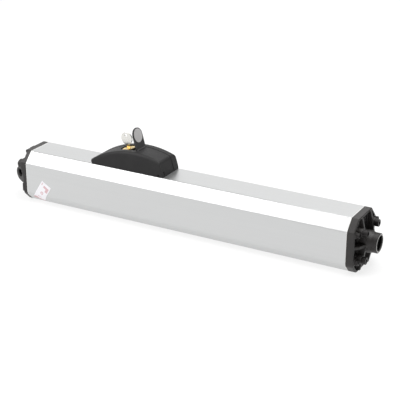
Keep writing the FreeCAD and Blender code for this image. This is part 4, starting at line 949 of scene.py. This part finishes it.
def hang_soft_box(name, place, target, width, depth, power):
    """Hangs a rectangular studio lamp aimed at a point."""
    lamp = bpy.data.lights.new(name, "AREA")
    lamp.shape = "RECTANGLE"
    lamp.size = width
    lamp.size_y = depth
    lamp.energy = power
    aim(bpy.data.objects.new(name, lamp), place, target - place)


def set_camera():
    """Sets the camera where the photograph was taken, and shows tones as they are."""
    lens = bpy.data.cameras.new("camera")
    lens.lens = CAMERA_LENS
    lens.sensor_width = SENSOR_WIDTH
    level = math.cos(CAMERA_FALL)
    east = -math.sin(CAMERA_TURN) * level
    north = math.cos(CAMERA_TURN) * level
    camera = bpy.data.objects.new("camera", lens)
    aim(camera, CAMERA_PLACE, Vector((east, north, -math.sin(CAMERA_FALL))))
    bpy.context.scene.camera = camera
    bpy.context.scene.view_settings.view_transform = "Standard"


class DOOROPERATOR_OT_stage(bpy.types.Operator):
    """Lay the pale floor, hang the soft boxes and set the camera where the photograph was taken"""

    bl_idname = "door_operator.stage"
    bl_label = "Stage"

    def execute(self, context):
        studio = context.scene.door_operator_studio
        middle = (cad_low + cad_high) / 2.0
        lay_floor(studio, middle)
        light_room(studio.room_light)
        for name, place, width, depth, setting in SOFT_BOXES:
            power = getattr(studio, setting)
            hang_soft_box(name, middle + Vector(place), middle, width, depth, power)
        set_camera()
        return {"FINISHED"}


class DOOROPERATOR_PT_panel(bpy.types.Panel):
    """Lists the operator's pieces and settings in the sidebar"""

    bl_idname = "DOOROPERATOR_PT_panel"
    bl_label = "Door operator"
    bl_space_type = "VIEW_3D"
    bl_region_type = "UI"
    bl_category = "Door operator"

    def draw(self, context):
        scene = context.scene
        for setting, group in SETTINGS.items():
            for name in group.__annotations__:
                self.layout.prop(getattr(scene, setting), name)
        for piece in PIECES:
            self.layout.operator(piece.bl_idname)


SETTINGS = {
    "door_operator_colours": DoorOperatorColours,
    "door_operator_sizes": DoorOperatorSizes,
    "door_operator_studio": DoorOperatorStudio,
}

PIECES = (
    DOOROPERATOR_OT_tank,
    DOOROPERATOR_OT_castings,
    DOOROPERATOR_OT_screws,
    DOOROPERATOR_OT_nose,
    DOOROPERATOR_OT_cover,
    DOOROPERATOR_OT_lock,
    DOOROPERATOR_OT_flap,
    DOOROPERATOR_OT_hydraulics,
    DOOROPERATOR_OT_sticker,
    DOOROPERATOR_OT_stage,
)


def register():
    for name, group in SETTINGS.items():
        bpy.utils.register_class(group)
        setattr(bpy.types.Scene, name, bpy.props.PointerProperty(type=group))
    for piece in PIECES:
        bpy.utils.register_class(piece)
    bpy.utils.register_class(DOOROPERATOR_PT_panel)


def unregister():
    bpy.utils.unregister_class(DOOROPERATOR_PT_panel)
    for piece in reversed(PIECES):
        bpy.utils.unregister_class(piece)
    for name, group in reversed(SETTINGS.items()):
        delattr(bpy.types.Scene, name)
        bpy.utils.unregister_class(group)


def main():
    """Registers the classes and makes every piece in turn."""
    register()
    bpy.ops.door_operator.tank()
    bpy.ops.door_operator.castings()
    bpy.ops.door_operator.screws()
    bpy.ops.door_operator.nose()
    bpy.ops.door_operator.cover()
    bpy.ops.door_operator.lock()
    bpy.ops.door_operator.flap()
    bpy.ops.door_operator.hydraulics()
    bpy.ops.door_operator.sticker()
    bpy.ops.door_operator.stage()


if __name__ == "__main__":
    main()
